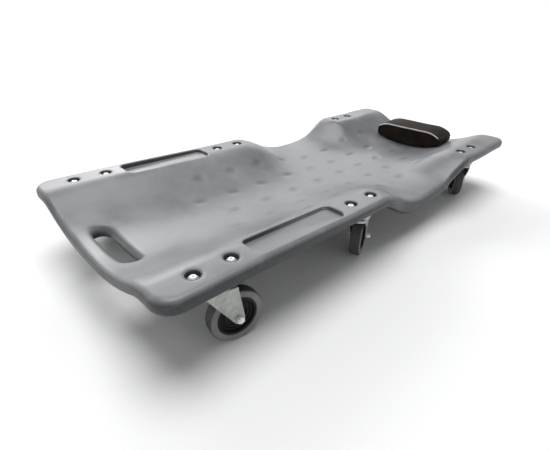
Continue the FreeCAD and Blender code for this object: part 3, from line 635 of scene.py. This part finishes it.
def material_of(name, slot_name):
    """The slot's material, or a lit variant of it: pale half-metallic zinc for the bolts and axle nuts as painted
    highlight, lighter plastic for the recess washers as painted light against their shade.
    """
    if name == "cup_washers":
        return CUP
    if name == "deck_bolts" or name.endswith(("_axle_bolt", "_axle_nut")):
        return ZINC_LIT
    return MATERIALS[slot_name]


# ---------------------------------------------------------------- deck

def sunk_into(top, drop):
    return lambda across, along: top(across, along) - drop


def at_height(height):
    return lambda across, along: height


def paint_deck(mesh):
    """Store the deck material's masks: painted shade in the dimples and on steep faces, none on the top of the
    slot's lip so its wall reads lit, and where the rim is worn by handling.
    """
    dimple_shade = mesh.attributes.new("dimple_shade", "FLOAT", "POINT")
    steep_face_shade = mesh.attributes.new("steep_face_shade", "FLOAT", "POINT")
    worn = mesh.attributes.new("worn", "FLOAT", "POINT")
    for vertex in mesh.vertices:
        x, y, z = vertex.co
        on_top = z > 0.5 * (top_skin(x, y) + bottom_skin(x, y))
        # Painted shade in the dimples, on the top skin only.
        dimple_shade.data[vertex.index].value = dimple_share(x, y) if on_top else 0.0
        # Painted shade by steepness, darkest on upright faces; the top of the slot's lip is left without it, so
        # its wall reads lit.
        by_slot = rectangle_gap(x, y, SLOT_LOW, SLOT_HIGH, SLOT_RADIUS) < 1.2 * SLOT_LIP
        steep = 1.0 - smooth_step((vertex.normal.z - 0.35) / 0.5)
        steep_face_shade.data[vertex.index].value = 0.0 if by_slot and on_top else steep
        rim = 1.0 - min(1.0, abs(outline_depth(x, y) - 0.45 * EDGE_ROUND) / (0.7 * EDGE_ROUND))
        worn.data[vertex.index].value = max(0.0, rim) if on_top else 0.0


PARTING_BEAD = 0.3 * MM
PARTING_HALF = 0.7 * MM
PARTING_FLAT = 0.25 * MM
TOP_SPACING = 4.5 * MM
TOP_CLEARANCE = 2.5 * MM
BOTTOM_SPACING = 6 * MM
BOTTOM_CLEARANCE = 3 * MM


def top_lip(shell, plan, radius, steps):
    """Rings that round the top skin over into a hole."""
    return [shell.ring(offset(plan, radius - sideways), sunk_into(top_skin, down))
            for sideways, down in round_steps(radius, steps)]


def make_deck():
    """The blow-moulded deck as one closed mesh with round edges, trays, hand slot and counterbores."""
    shell = Shell()
    outline = deck_outline()
    edge_top = []
    for sideways, down in round_steps(EDGE_ROUND, 7):
        edge_top.append(shell.ring(offset(outline, sideways - EDGE_ROUND), sunk_into(top_skin, down)))
    parting = []
    for out, lift in ((0.0, PARTING_HALF), (PARTING_BEAD, PARTING_FLAT), (PARTING_BEAD, -PARTING_FLAT),
                      (0.0, -PARTING_HALF)):
        middle = lambda x, y, lift=lift: 0.5 * (top_skin(x, y) + bottom_skin(x, y)) + lift
        parting.append(shell.ring(offset(outline, out - PARTING_BEAD), middle))
    edge_bottom = []
    for sideways, up in reversed(round_steps(EDGE_ROUND, 7)):
        edge_bottom.append(shell.ring(offset(outline, sideways - EDGE_ROUND), sunk_into(bottom_skin, -up)))
    shell.bands(edge_top + parting + edge_bottom)

    holes = []
    for low, high in TRAYS:
        plan = rounded_rectangle(low, high, TRAY_CORNER, 8, 5 * MM)
        floor = FLANGE_TOP - TRAY_DEPTH
        rim = top_lip(shell, plan, TRAY_LIP, 4)
        foot = [shell.ring(offset(plan, sideways - TRAY_DRAFT - TRAY_FOOT_ROUND), at_height(floor + down))
                for sideways, down in reversed(round_steps(TRAY_FOOT_ROUND, 4))]
        shell.bands(rim + foot, True)
        holes.append(rim[0])
        shell.faces.append(tuple(foot[-1]))

    slot_plan = rounded_rectangle(SLOT_LOW, SLOT_HIGH, SLOT_RADIUS, 12, 5 * MM)
    lip_top = top_lip(shell, slot_plan, SLOT_LIP, 6)
    lip_bottom = [shell.ring(offset(slot_plan, SLOT_LIP - sideways), sunk_into(bottom_skin, -up))
                  for sideways, up in reversed(round_steps(SLOT_LIP, 6))]
    shell.bands(lip_top + lip_bottom, True)
    holes.append(lip_top[0])

    for middle in BOLTS:
        plan = circle_plan(middle, RECESS_RADIUS, 32)
        top = top_skin(middle.x, middle.y)
        rim = top_lip(shell, plan, RECESS_LIP, 3)
        rim.append(shell.ring(offset(plan, 0.0), at_height(top - RECESS_DEPTH)))
        shell.bands(rim, True)
        shell.faces.append(tuple(rim[-1]))
        holes.append(rim[0])

    shell.field(edge_top[0], holes, inside_top, moulded_top, TOP_SPACING, TOP_CLEARANCE, True)
    shell.field(edge_bottom[-1], [lip_bottom[-1]], inside_bottom, moulded_bottom,
                BOTTOM_SPACING, BOTTOM_CLEARANCE, False)
    deck = shell.build("deck_shell", PLASTIC)
    paint_deck(deck.data)
    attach(deck, ROOT)
    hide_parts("deck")
    return deck


# ---------------------------------------------------------------- castors

CROWN_TOP = 97.8 * MM
CUP_RADIUS = 21.8 * MM
CUP_WALL = 1.2 * MM
CUP_SINK = 0.4 * MM
CUP_RISE = 5 * MM
CROWN_BULGE = 3.2 * MM
BULGE_MIDDLE = -2 * MM
BULGE_REACH = 17 * MM
LEG_OUTSIDE = 15.4 * MM
SHEET = 2.2 * MM
LEG_FRONT = -16.5 * MM
LEG_BACK = 28.5 * MM
FRONT_REACH = 8 * MM
SKIRT = 6 * MM
EYE_RADIUS = 8.6 * MM
EYE_STEPS = 14
FRONT_STEPS = 16
BULGE_LOW = 46 * MM
FOLD = 3.2 * MM
TREAD_HALF = 10.2 * MM
HUB_RADIUS = 31 * MM
WHEEL_STEPS = 96


def joint_of(name):
    return next(joint for joint in frame["joints"] if joint["name"] == name)


class Castor:
    """A castor's own frame, from its joints: X along the axle, Y trailing, Z up."""

    def __init__(self, name):
        kingpin = Vector(joint_of(name + "_swivel")["pos_m"])
        roll = joint_of(name + "_roll")
        hub = Vector(roll["pos_m"])
        axle = Vector(roll["axis"]).normalized()
        trailing = Vector((0, 0, 1)).cross(axle)
        turn = Matrix((axle, trailing, Vector((0, 0, 1)))).transposed().to_4x4()
        self.name = name
        self.trail = (hub - kingpin).dot(trailing)
        self.height = hub.z
        self.base = Matrix.Translation((kingpin.x, kingpin.y, 0.0)) @ turn
        self.wheel = Matrix.Translation(hub) @ turn


def tangent_angle(outside, centre, radius, turn):
    """The angle at which a line from an outside point touches a circle; turn picks the side."""
    along = outside - centre
    bearing = math.atan2(along.y, along.x)
    return bearing - turn * math.acos(radius / along.length)


def along_path(points, share):
    """The point a share of the way along a polyline."""
    lengths = [(b - a).length for a, b in zip(points, points[1:])]
    target = share * sum(lengths)
    for index, length in enumerate(lengths):
        if target <= length or index == len(lengths) - 1:
            return points[index].lerp(points[index + 1], min(1.0, target / length))
        target -= length


def crown_edge(along):
    """Half width of the fork at the crown: it swells beside the kingpin and is straight behind it."""
    return LEG_OUTSIDE + CROWN_BULGE * smooth_step(1.0 - abs(along - BULGE_MIDDLE) / BULGE_REACH)


def leg_surface(along, up):
    """How far out the leg stands: the crown's round front blends down into the flat leg."""
    share = min(1.0, max(0.0, (up - BULGE_LOW) / (CROWN_TOP - FOLD - BULGE_LOW)))
    return LEG_OUTSIDE + (crown_edge(along) - LEG_OUTSIDE) * share


def fork_columns(castor):
    """Columns of points down the fork's right half, from its open back round to its front."""
    axle = Vector((castor.trail, castor.height))
    front = Vector((LEG_FRONT, CROWN_TOP - SKIRT))
    rear = Vector((LEG_BACK, CROWN_TOP))
    front_angle = tangent_angle(front, axle, EYE_RADIUS, -1.0)
    rear_angle = tangent_angle(rear, axle, EYE_RADIUS, 1.0)
    sweep = (rear_angle - front_angle) % (2 * math.pi)
    border = [front]
    for index in range(EYE_STEPS + 1):
        angle = front_angle + sweep * index / EYE_STEPS
        border.append(axle + EYE_RADIUS * Vector((math.cos(angle), math.sin(angle))))
    columns = []
    steps = 40
    rows = 22
    for index in range(steps + 1):
        start = LEG_BACK + (LEG_FRONT - LEG_BACK) * index / steps
        share = (start - LEG_FRONT) / (LEG_BACK - LEG_FRONT)
        end = along_path(border, share ** 1.25)
        top = Vector((start, CROWN_TOP - FOLD))
        slope = (crown_edge(start + 0.2 * MM) - crown_edge(start - 0.2 * MM)) / (0.4 * MM)
        outward = Vector((1.0, -slope)).normalized()
        edge = Vector((crown_edge(start), start))
        column = fold_points(edge, outward)
        for row in range(1, rows + 1):
            point = top.lerp(end, row / rows)
            column.append(Vector((leg_surface(point.x, point.y), point.x, point.y)))
        columns.append(column)
    for index in range(1, FRONT_STEPS + 1):
        angle = -math.pi / 2 * index / FRONT_STEPS
        edge = Vector((LEG_OUTSIDE * math.cos(angle), LEG_FRONT + FRONT_REACH * math.sin(angle)))
        outward = Vector((math.cos(angle) / LEG_OUTSIDE, math.sin(angle) / FRONT_REACH)).normalized()
        column = fold_points(edge, outward)
        for row in range(1, rows + 1):
            height = CROWN_TOP - FOLD + (FOLD - SKIRT) * row / rows
            column.append(Vector((edge.x, edge.y, height)))
        columns.append(column)
    return columns


def fold_points(edge, outward):
    """The rounded fold from the crown's flat top over its edge."""
    points = []
    for sideways, down in round_steps(FOLD, 6):
        place = edge - outward * (FOLD - sideways)
        points.append(Vector((place.x, place.y, CROWN_TOP - down)))
    return points


def applied(piece, *modifiers):
    """Add modifiers, then keep only the mesh they give."""
    for kind, settings in modifiers:
        modifier = piece.modifiers.new(kind.title(), kind)
        for key, value in settings.items():
            setattr(modifier, key, value)
    graph = bpy.context.evaluated_depsgraph_get()
    mesh = bpy.data.meshes.new_from_object(piece.evaluated_get(graph))
    piece.modifiers.clear()
    piece.data = mesh
    return piece


def piece_from(name, vertices, faces, material, matrix, sharp_angle=35.0):
    mesh = bpy.data.meshes.new(name)
    mesh.from_pydata([tuple(v) for v in vertices], [], faces)
    mesh.validate()
    cleaned = bmesh.new()
    cleaned.from_mesh(mesh)
    bmesh.ops.remove_doubles(cleaned, verts=cleaned.verts, dist=1e-6)
    bmesh.ops.recalc_face_normals(cleaned, faces=cleaned.faces)
    cleaned.to_mesh(mesh)
    cleaned.free()
    mesh.transform(matrix)
    mesh.materials.append(material)
    piece = placed(name, mesh)
    smooth_by_angle(piece, sharp_angle)
    return piece


def smooth_by_angle(piece, degrees):
    piece.data.shade_smooth()
    piece.data.set_sharp_from_angle(angle=math.radians(degrees))


def make_fork(castor):
    """Pressed steel fork: one folded sheet, its crown's bearing cup standing on top."""
    right = fork_columns(castor)
    left = [[Vector((-p.x, p.y, p.z)) for p in column] for column in right]
    vertices = []
    index_of = []
    for column in right + left:
        index_of.append(list(range(len(vertices), len(vertices) + len(column))))
        vertices += column
    half = len(right)
    faces = []
    for side, start in ((1, 0), (-1, half)):
        for first, second in zip(index_of[start:start + half], index_of[start + 1:start + half]):
            for row in range(len(first) - 1):
                quad = (first[row], first[row + 1], second[row + 1], second[row])
                faces.append(quad if side > 0 else quad[::-1])
    for first, second in zip(range(half - 1), range(1, half)):
        across = (first, second, half + second, half + first)
        faces.append(tuple(index_of[column][0] for column in across))
    name = castor.name + "_fork_sheet"
    fork = piece_from(name, vertices, faces, ZINC, castor.base)
    orient_upward(fork)
    applied(fork, ("SOLIDIFY", {"thickness": SHEET, "offset": -1.0}),
            ("BEVEL", {"width": 0.35 * MM, "segments": 2, "limit_method": "ANGLE",
                       "angle_limit": math.radians(50)}))
    smooth_by_angle(fork, 40.0)
    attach(fork, castor.name + "_castor")
    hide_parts(castor.name + "_fork")
    low = CROWN_TOP - CUP_SINK
    high = CROWN_TOP + CUP_RISE
    inside = CUP_RADIUS - CUP_WALL
    corners = [(inside, low), (inside, high), (CUP_RADIUS, high), (CUP_RADIUS, low)]
    section = rounded_section(corners, 0.5 * MM)
    cup = lathe(castor.name + "_bearing_cup", section, ZINC, castor.base, 64, "Z")
    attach(cup, castor.name + "_castor")


def orient_upward(piece):
    """Make the crown's face normals point up, and every other face agree with them."""
    mesh = piece.data
    top = max(mesh.polygons, key=lambda polygon: polygon.center.z)
    if top.normal.z < 0:
        mesh.flip_normals()


def rounded_section(points, radius, steps=4):
    """A closed section with each corner rounded as far as its sides allow."""
    result = []
    count = len(points)
    for index in range(count):
        before = Vector(points[index - 1])
        corner = Vector(points[index])
        after = Vector(points[(index + 1) % count])
        to_before = before - corner
        to_after = after - corner
        reach = min(radius, 0.45 * to_before.length, 0.45 * to_after.length)
        start = corner + to_before.normalized() * reach
        end = corner + to_after.normalized() * reach
        for step in range(steps + 1):
            t = step / steps
            result.append(tuple(start * (1 - t) ** 2 + corner * 2 * t * (1 - t) + end * t ** 2))
    return result


def lathe(name, section, material, matrix, steps, axis):
    """Turn a closed section about X (points are across, radius) or Z (points are radius, up)."""
    vertices = []
    faces = []
    count = len(section)
    for step in range(steps):
        angle = 2 * math.pi * step / steps
        cosine, sine = math.cos(angle), math.sin(angle)
        for first, second in section:
            if axis == "X":
                vertices.append((first, second * cosine, second * sine))
            else:
                vertices.append((first * cosine, first * sine, second))
    for step in range(steps):
        after = (step + 1) % steps
        for index in range(count):
            other = (index + 1) % count
            faces.append((step * count + index, step * count + other,
                          after * count + other, after * count + index))
    return piece_from(name, vertices, faces, material, matrix, 50.0)


def mirrored(half):
    return half + [(-across, radius) for across, radius in reversed(half)]


def paint_tread(mesh, to_wheel, radius):
    """Store which part of the tyre runs on the floor, for the rubber's material."""
    tread = mesh.attributes.new("tread", "FLOAT", "POINT")
    for vertex in mesh.vertices:
        place = to_wheel @ vertex.co
        reach = math.hypot(place.y, place.z)
        tread.data[vertex.index].value = smooth_step((reach - radius) / (1.2 * MM))


def make_wheel(castor):
    """Solid rubber tyre on a ribbed plastic hub."""
    outer = castor.height
    inner = HUB_RADIUS + 0.05 * MM
    side = TREAD_HALF
    tyre_half = [(side - 1.0 * MM, inner), (side - 0.1 * MM, inner + 1.0 * MM),
                 (side - 0.25 * MM, inner + 2.8 * MM), (side, inner + 3.2 * MM),
                 (side, outer - 3.2 * MM), (side - 0.8 * MM, outer - 1.3 * MM),
                 (side - 2.6 * MM, outer - 0.25 * MM), (side - 5.0 * MM, outer), (0.5 * MM, outer)]
    section = rounded_section(mirrored(tyre_half), 1.1 * MM)
    tyre = lathe(castor.name + "_tyre_ring", section, RUBBER, castor.wheel, WHEEL_STEPS, "X")
    paint_tread(tyre.data, castor.wheel.inverted(), outer - 1.8 * MM)
    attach(tyre, castor.name + "_wheel")
    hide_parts(castor.name + "_tyre")
    hub_half = [(12.4, 5.1), (12.4, 9.5), (5.0, 10.4), (3.4, 12.0), (3.4, 16.2), (6.4, 16.6), (6.4, 18.9),
                (3.4, 19.3), (3.4, 21.8), (5.6, 22.1), (5.6, 23.6), (3.8, 24.0), (4.2, 26.6), (9.0, 27.6),
                (9.4, 31.0)]
    profile = mirrored([(across * MM, radius * MM) for across, radius in hub_half])
    section = rounded_section(profile, 0.7 * MM, 3)
    hub = lathe(castor.name + "_hub_disc", section, BLACK, castor.wheel, WHEEL_STEPS, "X")
    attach(hub, castor.name + "_wheel")
    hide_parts(castor.name + "_wheel_hub")


def soften(node_name, body, slot_name, width):
    """A copy of a small hard CAD part with its sharp edges broken."""
    source = frame["nodes"][node_name]
    mesh = source.data.copy()
    mesh.transform(source.matrix_world)
    work = bmesh.new()
    work.from_mesh(mesh)
    bmesh.ops.remove_doubles(work, verts=work.verts, dist=2e-6)
    bmesh.ops.dissolve_limit(work, angle_limit=math.radians(0.5), verts=work.verts, edges=work.edges)
    sharp = [edge for edge in work.edges if edge.is_manifold and edge.calc_face_angle() > math.radians(34)]
    bmesh.ops.bevel(work, geom=sharp, offset=width, segments=2, profile=0.6, affect="EDGES",
                    clamp_overlap=True)
    work.to_mesh(mesh)
    work.free()
    mesh.materials.clear()
    mesh.materials.append(material_of(node_name, slot_name))
    piece = placed(node_name + "_finished", mesh)
    smooth_by_angle(piece, 42.0)
    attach(piece, body)
    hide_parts(node_name)


def make_castors():
    for name in CASTORS:
        castor = Castor(name)
        make_fork(castor)
        make_wheel(castor)
        soften(name + "_castor_plate", ROOT, "zinc", 0.3 * MM)
        soften(name + "_axle_bolt", name + "_castor", "zinc", 0.3 * MM)
        soften(name + "_axle_nut", name + "_castor", "zinc", 0.3 * MM)
    for name in ("deck_bolts", "lock_nuts", "headrest_screws"):
        soften(name, ROOT, "zinc", 0.25 * MM)


# ---------------------------------------------------------------- headrest

REST_MIDDLE = Vector((-3.5 * MM, 441 * MM))
REST_TURN = math.radians(4.0)
REST_INSET = 2.5 * MM
REST_HALF = 101 * MM - REST_INSET
REST_DEPTH = 46 * MM - REST_INSET
REST_CORNER = 6 * MM
REST_BOW = 3 * MM
REST_WEDGE = 4.5 * MM
REST_CROWN = 1.5 * MM
SEAM_TOP = 133 * MM
SEAM_LEVEL = 56 * MM
SEAM_HALF = 93 * MM
SEAM_BEND = 65.9 * MM
REST_ROUND = 4 * MM
SEAM_ROUND = 2 * MM
PINCH_DEPTH = 1.1 * MM
PINCH_WIDTH = 2.8 * MM
PINCH_REACH = 10 * MM
PIPING_RADIUS = 1.9 * MM
VOXEL = 3.4 * MM
SIM_FRAMES = 20
SWELL_CAP = 4.5 * MM
CLOTH = {"quality": 6, "mass": 0.3, "tension_stiffness": 25.0, "compression_stiffness": 25.0,
         "shear_stiffness": 8.0, "bending_stiffness": 1.0, "use_pressure": True,
         "uniform_pressure_force": 4.0, "vertex_group_mass": "held"}


def to_pad(across, along):
    """Plan coordinates in the pad's own frame, which sits a little askew on the deck."""
    away = Vector((across, along)) - REST_MIDDLE
    cosine, sine = math.cos(REST_TURN), math.sin(REST_TURN)
    return away.x * cosine + away.y * sine, away.y * cosine - away.x * sine


def turned(vector):
    cosine, sine = math.cos(REST_TURN), math.sin(REST_TURN)
    return Vector((vector.x * cosine - vector.y * sine, vector.x * sine + vector.y * cosine))


def seam_height(u):
    """Height of the front top seam: level in the middle, an arc down at either end."""
    run = max(0.0, abs(u) - SEAM_LEVEL)
    return SEAM_TOP - SEAM_BEND + math.sqrt(SEAM_BEND ** 2 - min(run, 0.9 * SEAM_BEND) ** 2)


def rest_top(across, along):
    """The pad's top: it starts at the seam, rises towards the back and is slightly crowned."""
    u, v = to_pad(across, along)
    share = min(1.0, max(0.0, (v + REST_DEPTH) / (2 * REST_DEPTH)))
    wedge = REST_WEDGE * smooth_step(share * 0.8 + 0.1)
    return seam_height(u) + wedge + REST_CROWN * math.sin(math.pi * share)


def front_bow(u):
    return REST_BOW * (abs(u) / REST_HALF) ** 3


def rest_plan():
    low = Vector((-REST_HALF, -REST_DEPTH))
    high = Vector((REST_HALF, REST_DEPTH))
    plan = rounded_rectangle(low, high, REST_CORNER, 8, 4 * MM)
    bowed = [(Vector((p.x, p.y + front_bow(p.x) * (p.y < 0.0))), n) for p, n in plan]
    return [(REST_MIDDLE + turned(p), turned(n), n) for p, n in bowed]


def rest_round(outward):
    """Radius over the pad's top edge: tight along the front seam, full elsewhere."""
    return SEAM_ROUND + (REST_ROUND - SEAM_ROUND) * smooth_step((outward.y + 1.0) / 0.7)


def on_base(x, y):
    return top_skin(x, y) + 0.6 * MM


def cushion_shell():
    """The pad before it is filled: rings up the walls, over the edge, and fields above and below."""
    shell = Shell()
    plan = rest_plan()
    outline = [(point, outward) for point, outward, _ in plan]
    rings = [shell.ring(offset(outline, -3 * MM), on_base),
             shell.ring(offset(outline, -1 * MM), lambda x, y: on_base(x, y) + 1.2 * MM)]

    def loose_ring(places):
        start = len(shell.vertices)
        shell.vertices.extend(places)
        rings.append(list(range(start, len(shell.vertices))))

    for level in range(6):
        places = []
        for point, _, own in plan:
            floor = on_base(point.x, point.y) + 4 * MM
            ceiling = max(floor, rest_top(point.x, point.y) - rest_round(own))
            places.append((point.x, point.y, floor + (ceiling - floor) * level / 5))
        loose_ring(places)
    for step in range(1, 6):
        angle = math.radians(18.0 * step)
        places = []
        for point, outward, own in plan:
            radius = rest_round(own)
            place = point - outward * radius * (1.0 - math.cos(angle))
            places.append((place.x, place.y, rest_top(point.x, point.y) - radius * (1.0 - math.sin(angle))))
        loose_ring(places)
    shell.bands(rings, True)
    low = Vector((-REST_HALF, -REST_DEPTH))
    high = Vector((REST_HALF, REST_DEPTH))

    def inside(across, along, clearance):
        if clearance == 0.0:
            return True
        u, v = to_pad(across, along)
        margin = (SEAM_ROUND + REST_BOW if v < 0.0 else REST_ROUND) + clearance
        clear_of_ends = abs(u) < REST_HALF - REST_ROUND - clearance
        return clear_of_ends and rectangle_gap(u, v, low, high, REST_CORNER) < -margin

    shell.field(rings[-1], [], inside, rest_top, 5 * MM, 2 * MM, True)
    shell.field(rings[0], [], inside, on_base, 6 * MM, 2 * MM, False)
    return shell.build("headrest_pad", VINYL)


def remeshed(piece, voxel):
    return applied(piece, ("REMESH", {"mode": "VOXEL", "voxel_size": voxel, "use_smooth_shade": True}))


def swell(piece):
    """Fill the pad with air as cloth, holding its underside, front seam and ends, then keep the result."""
    hold = piece.vertex_groups.new(name="held")
    for vertex in piece.data.vertices:
        x, y, z = vertex.co
        u, v = to_pad(x, y)
        at_base = z < top_skin(x, y) + 4 * MM
        at_seam = v < 8 * MM - REST_DEPTH and abs(z - seam_height(u)) < 3.5 * MM
        at_end = abs(u) > REST_HALF - 2.5 * MM
        hold.add([vertex.index], 1.0 if at_base or at_seam or at_end else 0.0, "REPLACE")
    rest = [vertex.co.copy() for vertex in piece.data.vertices]
    cloth = piece.modifiers.new("Cloth", "CLOTH")
    for key, value in CLOTH.items():
        setattr(cloth.settings, key, value)
    cloth.settings.effector_weights.gravity = 0.0
    cloth.point_cache.frame_start = 1
    cloth.point_cache.frame_end = SIM_FRAMES
    for step in range(1, SIM_FRAMES + 1):
        bpy.context.scene.frame_set(step)
    graph = bpy.context.evaluated_depsgraph_get()
    mesh = bpy.data.meshes.new_from_object(piece.evaluated_get(graph))
    piece.modifiers.clear()
    bpy.context.scene.frame_set(1)
    for vertex, start in zip(mesh.vertices, rest):
        move = vertex.co - start
        if move.length > SWELL_CAP:
            vertex.co = start + move * (SWELL_CAP / move.length)
    piece.data = mesh


def settle(mesh):
    """Keep the pad off the deck, and draw in the corner seams between its front and its ends."""
    for vertex in mesh.vertices:
        x, y, z = vertex.co
        u, v = to_pad(x, y)
        side = math.copysign(1.0, u)
        du = side * u - (REST_HALF - 4 * MM)
        dv = v + REST_DEPTH - 7 * MM
        if z < seam_height(u) + 2 * MM and math.hypot(du, dv) < PINCH_REACH:
            line = abs(du + dv) / math.sqrt(2)
            pinch = PINCH_DEPTH * smooth_step(1.0 - line / PINCH_WIDTH)
            inward = turned(Vector((-side * pinch, pinch)))
            vertex.co.x += inward.x
            vertex.co.y += inward.y
        vertex.co.z = max(vertex.co.z, top_skin(x, y) + 0.5 * MM)


def make_cushion():
    cushion = cushion_shell()
    remeshed(cushion, VOXEL)
    swell(cushion)
    applied(cushion, ("SUBSURF", {"levels": 1, "render_levels": 1}))
    settle(cushion.data)
    cushion.data.shade_smooth()
    if not cushion.data.materials:
        cushion.data.materials.append(VINYL)
    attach(cushion, ROOT)
    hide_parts("headrest_cushion")


def tube(name, path, radius, material, around=12):
    """A round tube along a path of points, with domed ends."""
    vertices = []
    faces = []
    rings = []
    count = len(path)
    for index, point in enumerate(path):
        ahead = path[min(count - 1, index + 1)]
        behind = path[max(0, index - 1)]
        direction = (ahead - behind).normalized()
        side = direction.cross(Vector((0, 1, 0))).normalized()
        other = direction.cross(side)
        ring = []
        for step in range(around):
            angle = 2 * math.pi * step / around
            ring.append(len(vertices))
            vertices.append(point + radius * (math.cos(angle) * side + math.sin(angle) * other))
        rings.append(ring)
    for first, second in zip(rings, rings[1:]):
        for step in range(around):
            after = (step + 1) % around
            faces.append((first[step], first[after], second[after], second[step]))
    for ring, point, inward in ((rings[0], path[0], path[1]), (rings[-1], path[-1], path[-2])):
        tip = len(vertices)
        vertices.append(point + (point - inward).normalized() * radius * 0.6)
        for step in range(around):
            faces.append((ring[step], ring[(step + 1) % around], tip))
    return piece_from(name, vertices, faces, material, Matrix.Identity(4), 70.0)


def seam_path(low, high, steps, out, drop):
    points = []
    for index in range(steps + 1):
        u = low + (high - low) * index / steps
        place = REST_MIDDLE + turned(Vector((u, front_bow(u) - REST_DEPTH - out)))
        points.append(Vector((place.x, place.y, seam_height(u) - drop)))
    return points


def make_piping():
    path = seam_path(-SEAM_HALF, SEAM_HALF, 72, 0.3 * MM, 0.2 * MM)
    piping = tube("seam_piping", path, PIPING_RADIUS, PIPING)
    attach(piping, ROOT)
    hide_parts("headrest_piping")


# ---------------------------------------------------------------- CAD nodes that stay

def dress_cad_nodes():
    slots = {entry["node"]: entry["material_slot"] for entry in frame["record"]["subparts"]}
    for name, node in frame["nodes"].items():
        node.data.materials.clear()
        node.data.materials.append(material_of(name, slots[name]))


# ---------------------------------------------------------------- floor, light and camera

FLOOR_RISE = math.radians(32.0)
FLOOR_SLOPE = 40.0
FLOOR_FLAT = 5.0
FLOOR_BEND = 3.0
STUDIO_COLOUR = (0.95, 0.97, 1.0, 1.0)
STUDIO_STRENGTH = 0.18


def make_floor():
    """A plain pale floor that curves up into a gentle slope all round, far from the object."""
    shell = Shell()
    rings = []
    steps = 96
    profile = [(0.05, 0.0), (1.0, 0.0), (3.0, 0.0), (FLOOR_FLAT, 0.0)]
    for index in range(1, 9):
        angle = FLOOR_RISE * index / 8
        profile.append((FLOOR_FLAT + FLOOR_BEND * math.sin(angle), FLOOR_BEND * (1.0 - math.cos(angle))))
    radius, height = profile[-1]
    profile.append((radius + FLOOR_SLOPE, height + FLOOR_SLOPE * math.tan(FLOOR_RISE)))
    for radius, height in profile:
        plan = circle_plan(Vector((0.0, 0.0)), radius, steps)
        rings.append(shell.ring([point for point, _ in plan], at_height(height)))
    shell.bands(rings, True)
    shell.faces.append(tuple(reversed(rings[0])))
    floor = shell.build("floor", mottled("pale_floor", grey(0.8), grey(0.82), 0.6, 0.85, 0.95, 300.0, 0.02))


def area_light(name, location, target, size, power):
    data = bpy.data.lights.new(name, "AREA")
    data.shape = "RECTANGLE"
    data.size, data.size_y = size
    data.energy = power
    light = placed(name, data)
    direction = Vector(target) - Vector(location)
    light.location = location
    light.rotation_euler = direction.to_track_quat("-Z", "Y").to_euler()
    light.visible_camera = False


def make_lights():
    """Two big soft lights behind and beside the object, a broad one from above, and a dim even studio."""
    area_light("back_softbox", (-4.7, 3.7, 3.5), (0.0, -0.1, 0.1), (5.5, 2.6), 120)
    area_light("left_softbox", (-5.6, 0.5, 3.0), (0.0, -0.2, 0.1), (4.0, 2.4), 150)
    data = bpy.data.lights.new("overhead", "SUN")
    data.energy = 2.5
    data.angle = math.radians(45.0)
    overhead = placed("overhead", data)
    overhead.rotation_euler = Vector((0.1, -0.1, -1.0)).to_track_quat("-Z", "Y").to_euler()
    world = bpy.data.worlds.new("studio")
    world.use_nodes = True
    background = world.node_tree.nodes["Background"]
    background.inputs["Color"].default_value = STUDIO_COLOUR
    background.inputs["Strength"].default_value = STUDIO_STRENGTH
    bpy.context.scene.world = world


CAMERA_PLACE = Vector((0.5622, -0.6611, 0.4309))
CAMERA_AZIMUTH = math.radians(44.07)
CAMERA_ELEVATION = math.radians(26.93)
CAMERA_ROLL = math.radians(2.38)
CAMERA_SHIFT = (-0.0265, -0.0245)
FOCAL_PIXELS = 400.1
PICTURE_WIDTH = 550
SENSOR = 36.0


def make_camera():
    look = Vector((-math.sin(CAMERA_AZIMUTH) * math.cos(CAMERA_ELEVATION),
                   math.cos(CAMERA_AZIMUTH) * math.cos(CAMERA_ELEVATION), -math.sin(CAMERA_ELEVATION)))
    right = look.cross(Vector((0, 0, 1))).normalized()
    up = right.cross(look)
    rolled_right = math.cos(CAMERA_ROLL) * right + math.sin(CAMERA_ROLL) * up
    rolled_up = math.cos(CAMERA_ROLL) * up - math.sin(CAMERA_ROLL) * right
    data = bpy.data.cameras.new("camera")
    data.sensor_width = SENSOR
    data.lens = FOCAL_PIXELS / PICTURE_WIDTH * SENSOR
    data.shift_x, data.shift_y = CAMERA_SHIFT
    data.clip_start = 0.01
    camera = placed("camera", data)
    axes = Matrix((rolled_right, rolled_up, -look)).transposed().to_4x4()
    camera.matrix_world = Matrix.Translation(CAMERA_PLACE) @ axes
    bpy.context.scene.camera = camera


dress_cad_nodes()
make_deck()
make_castors()
make_cushion()
make_piping()
make_floor()
make_lights()
make_camera()
bpy.context.scene.view_settings.view_transform = "Standard"
bpy.context.view_layer.update()
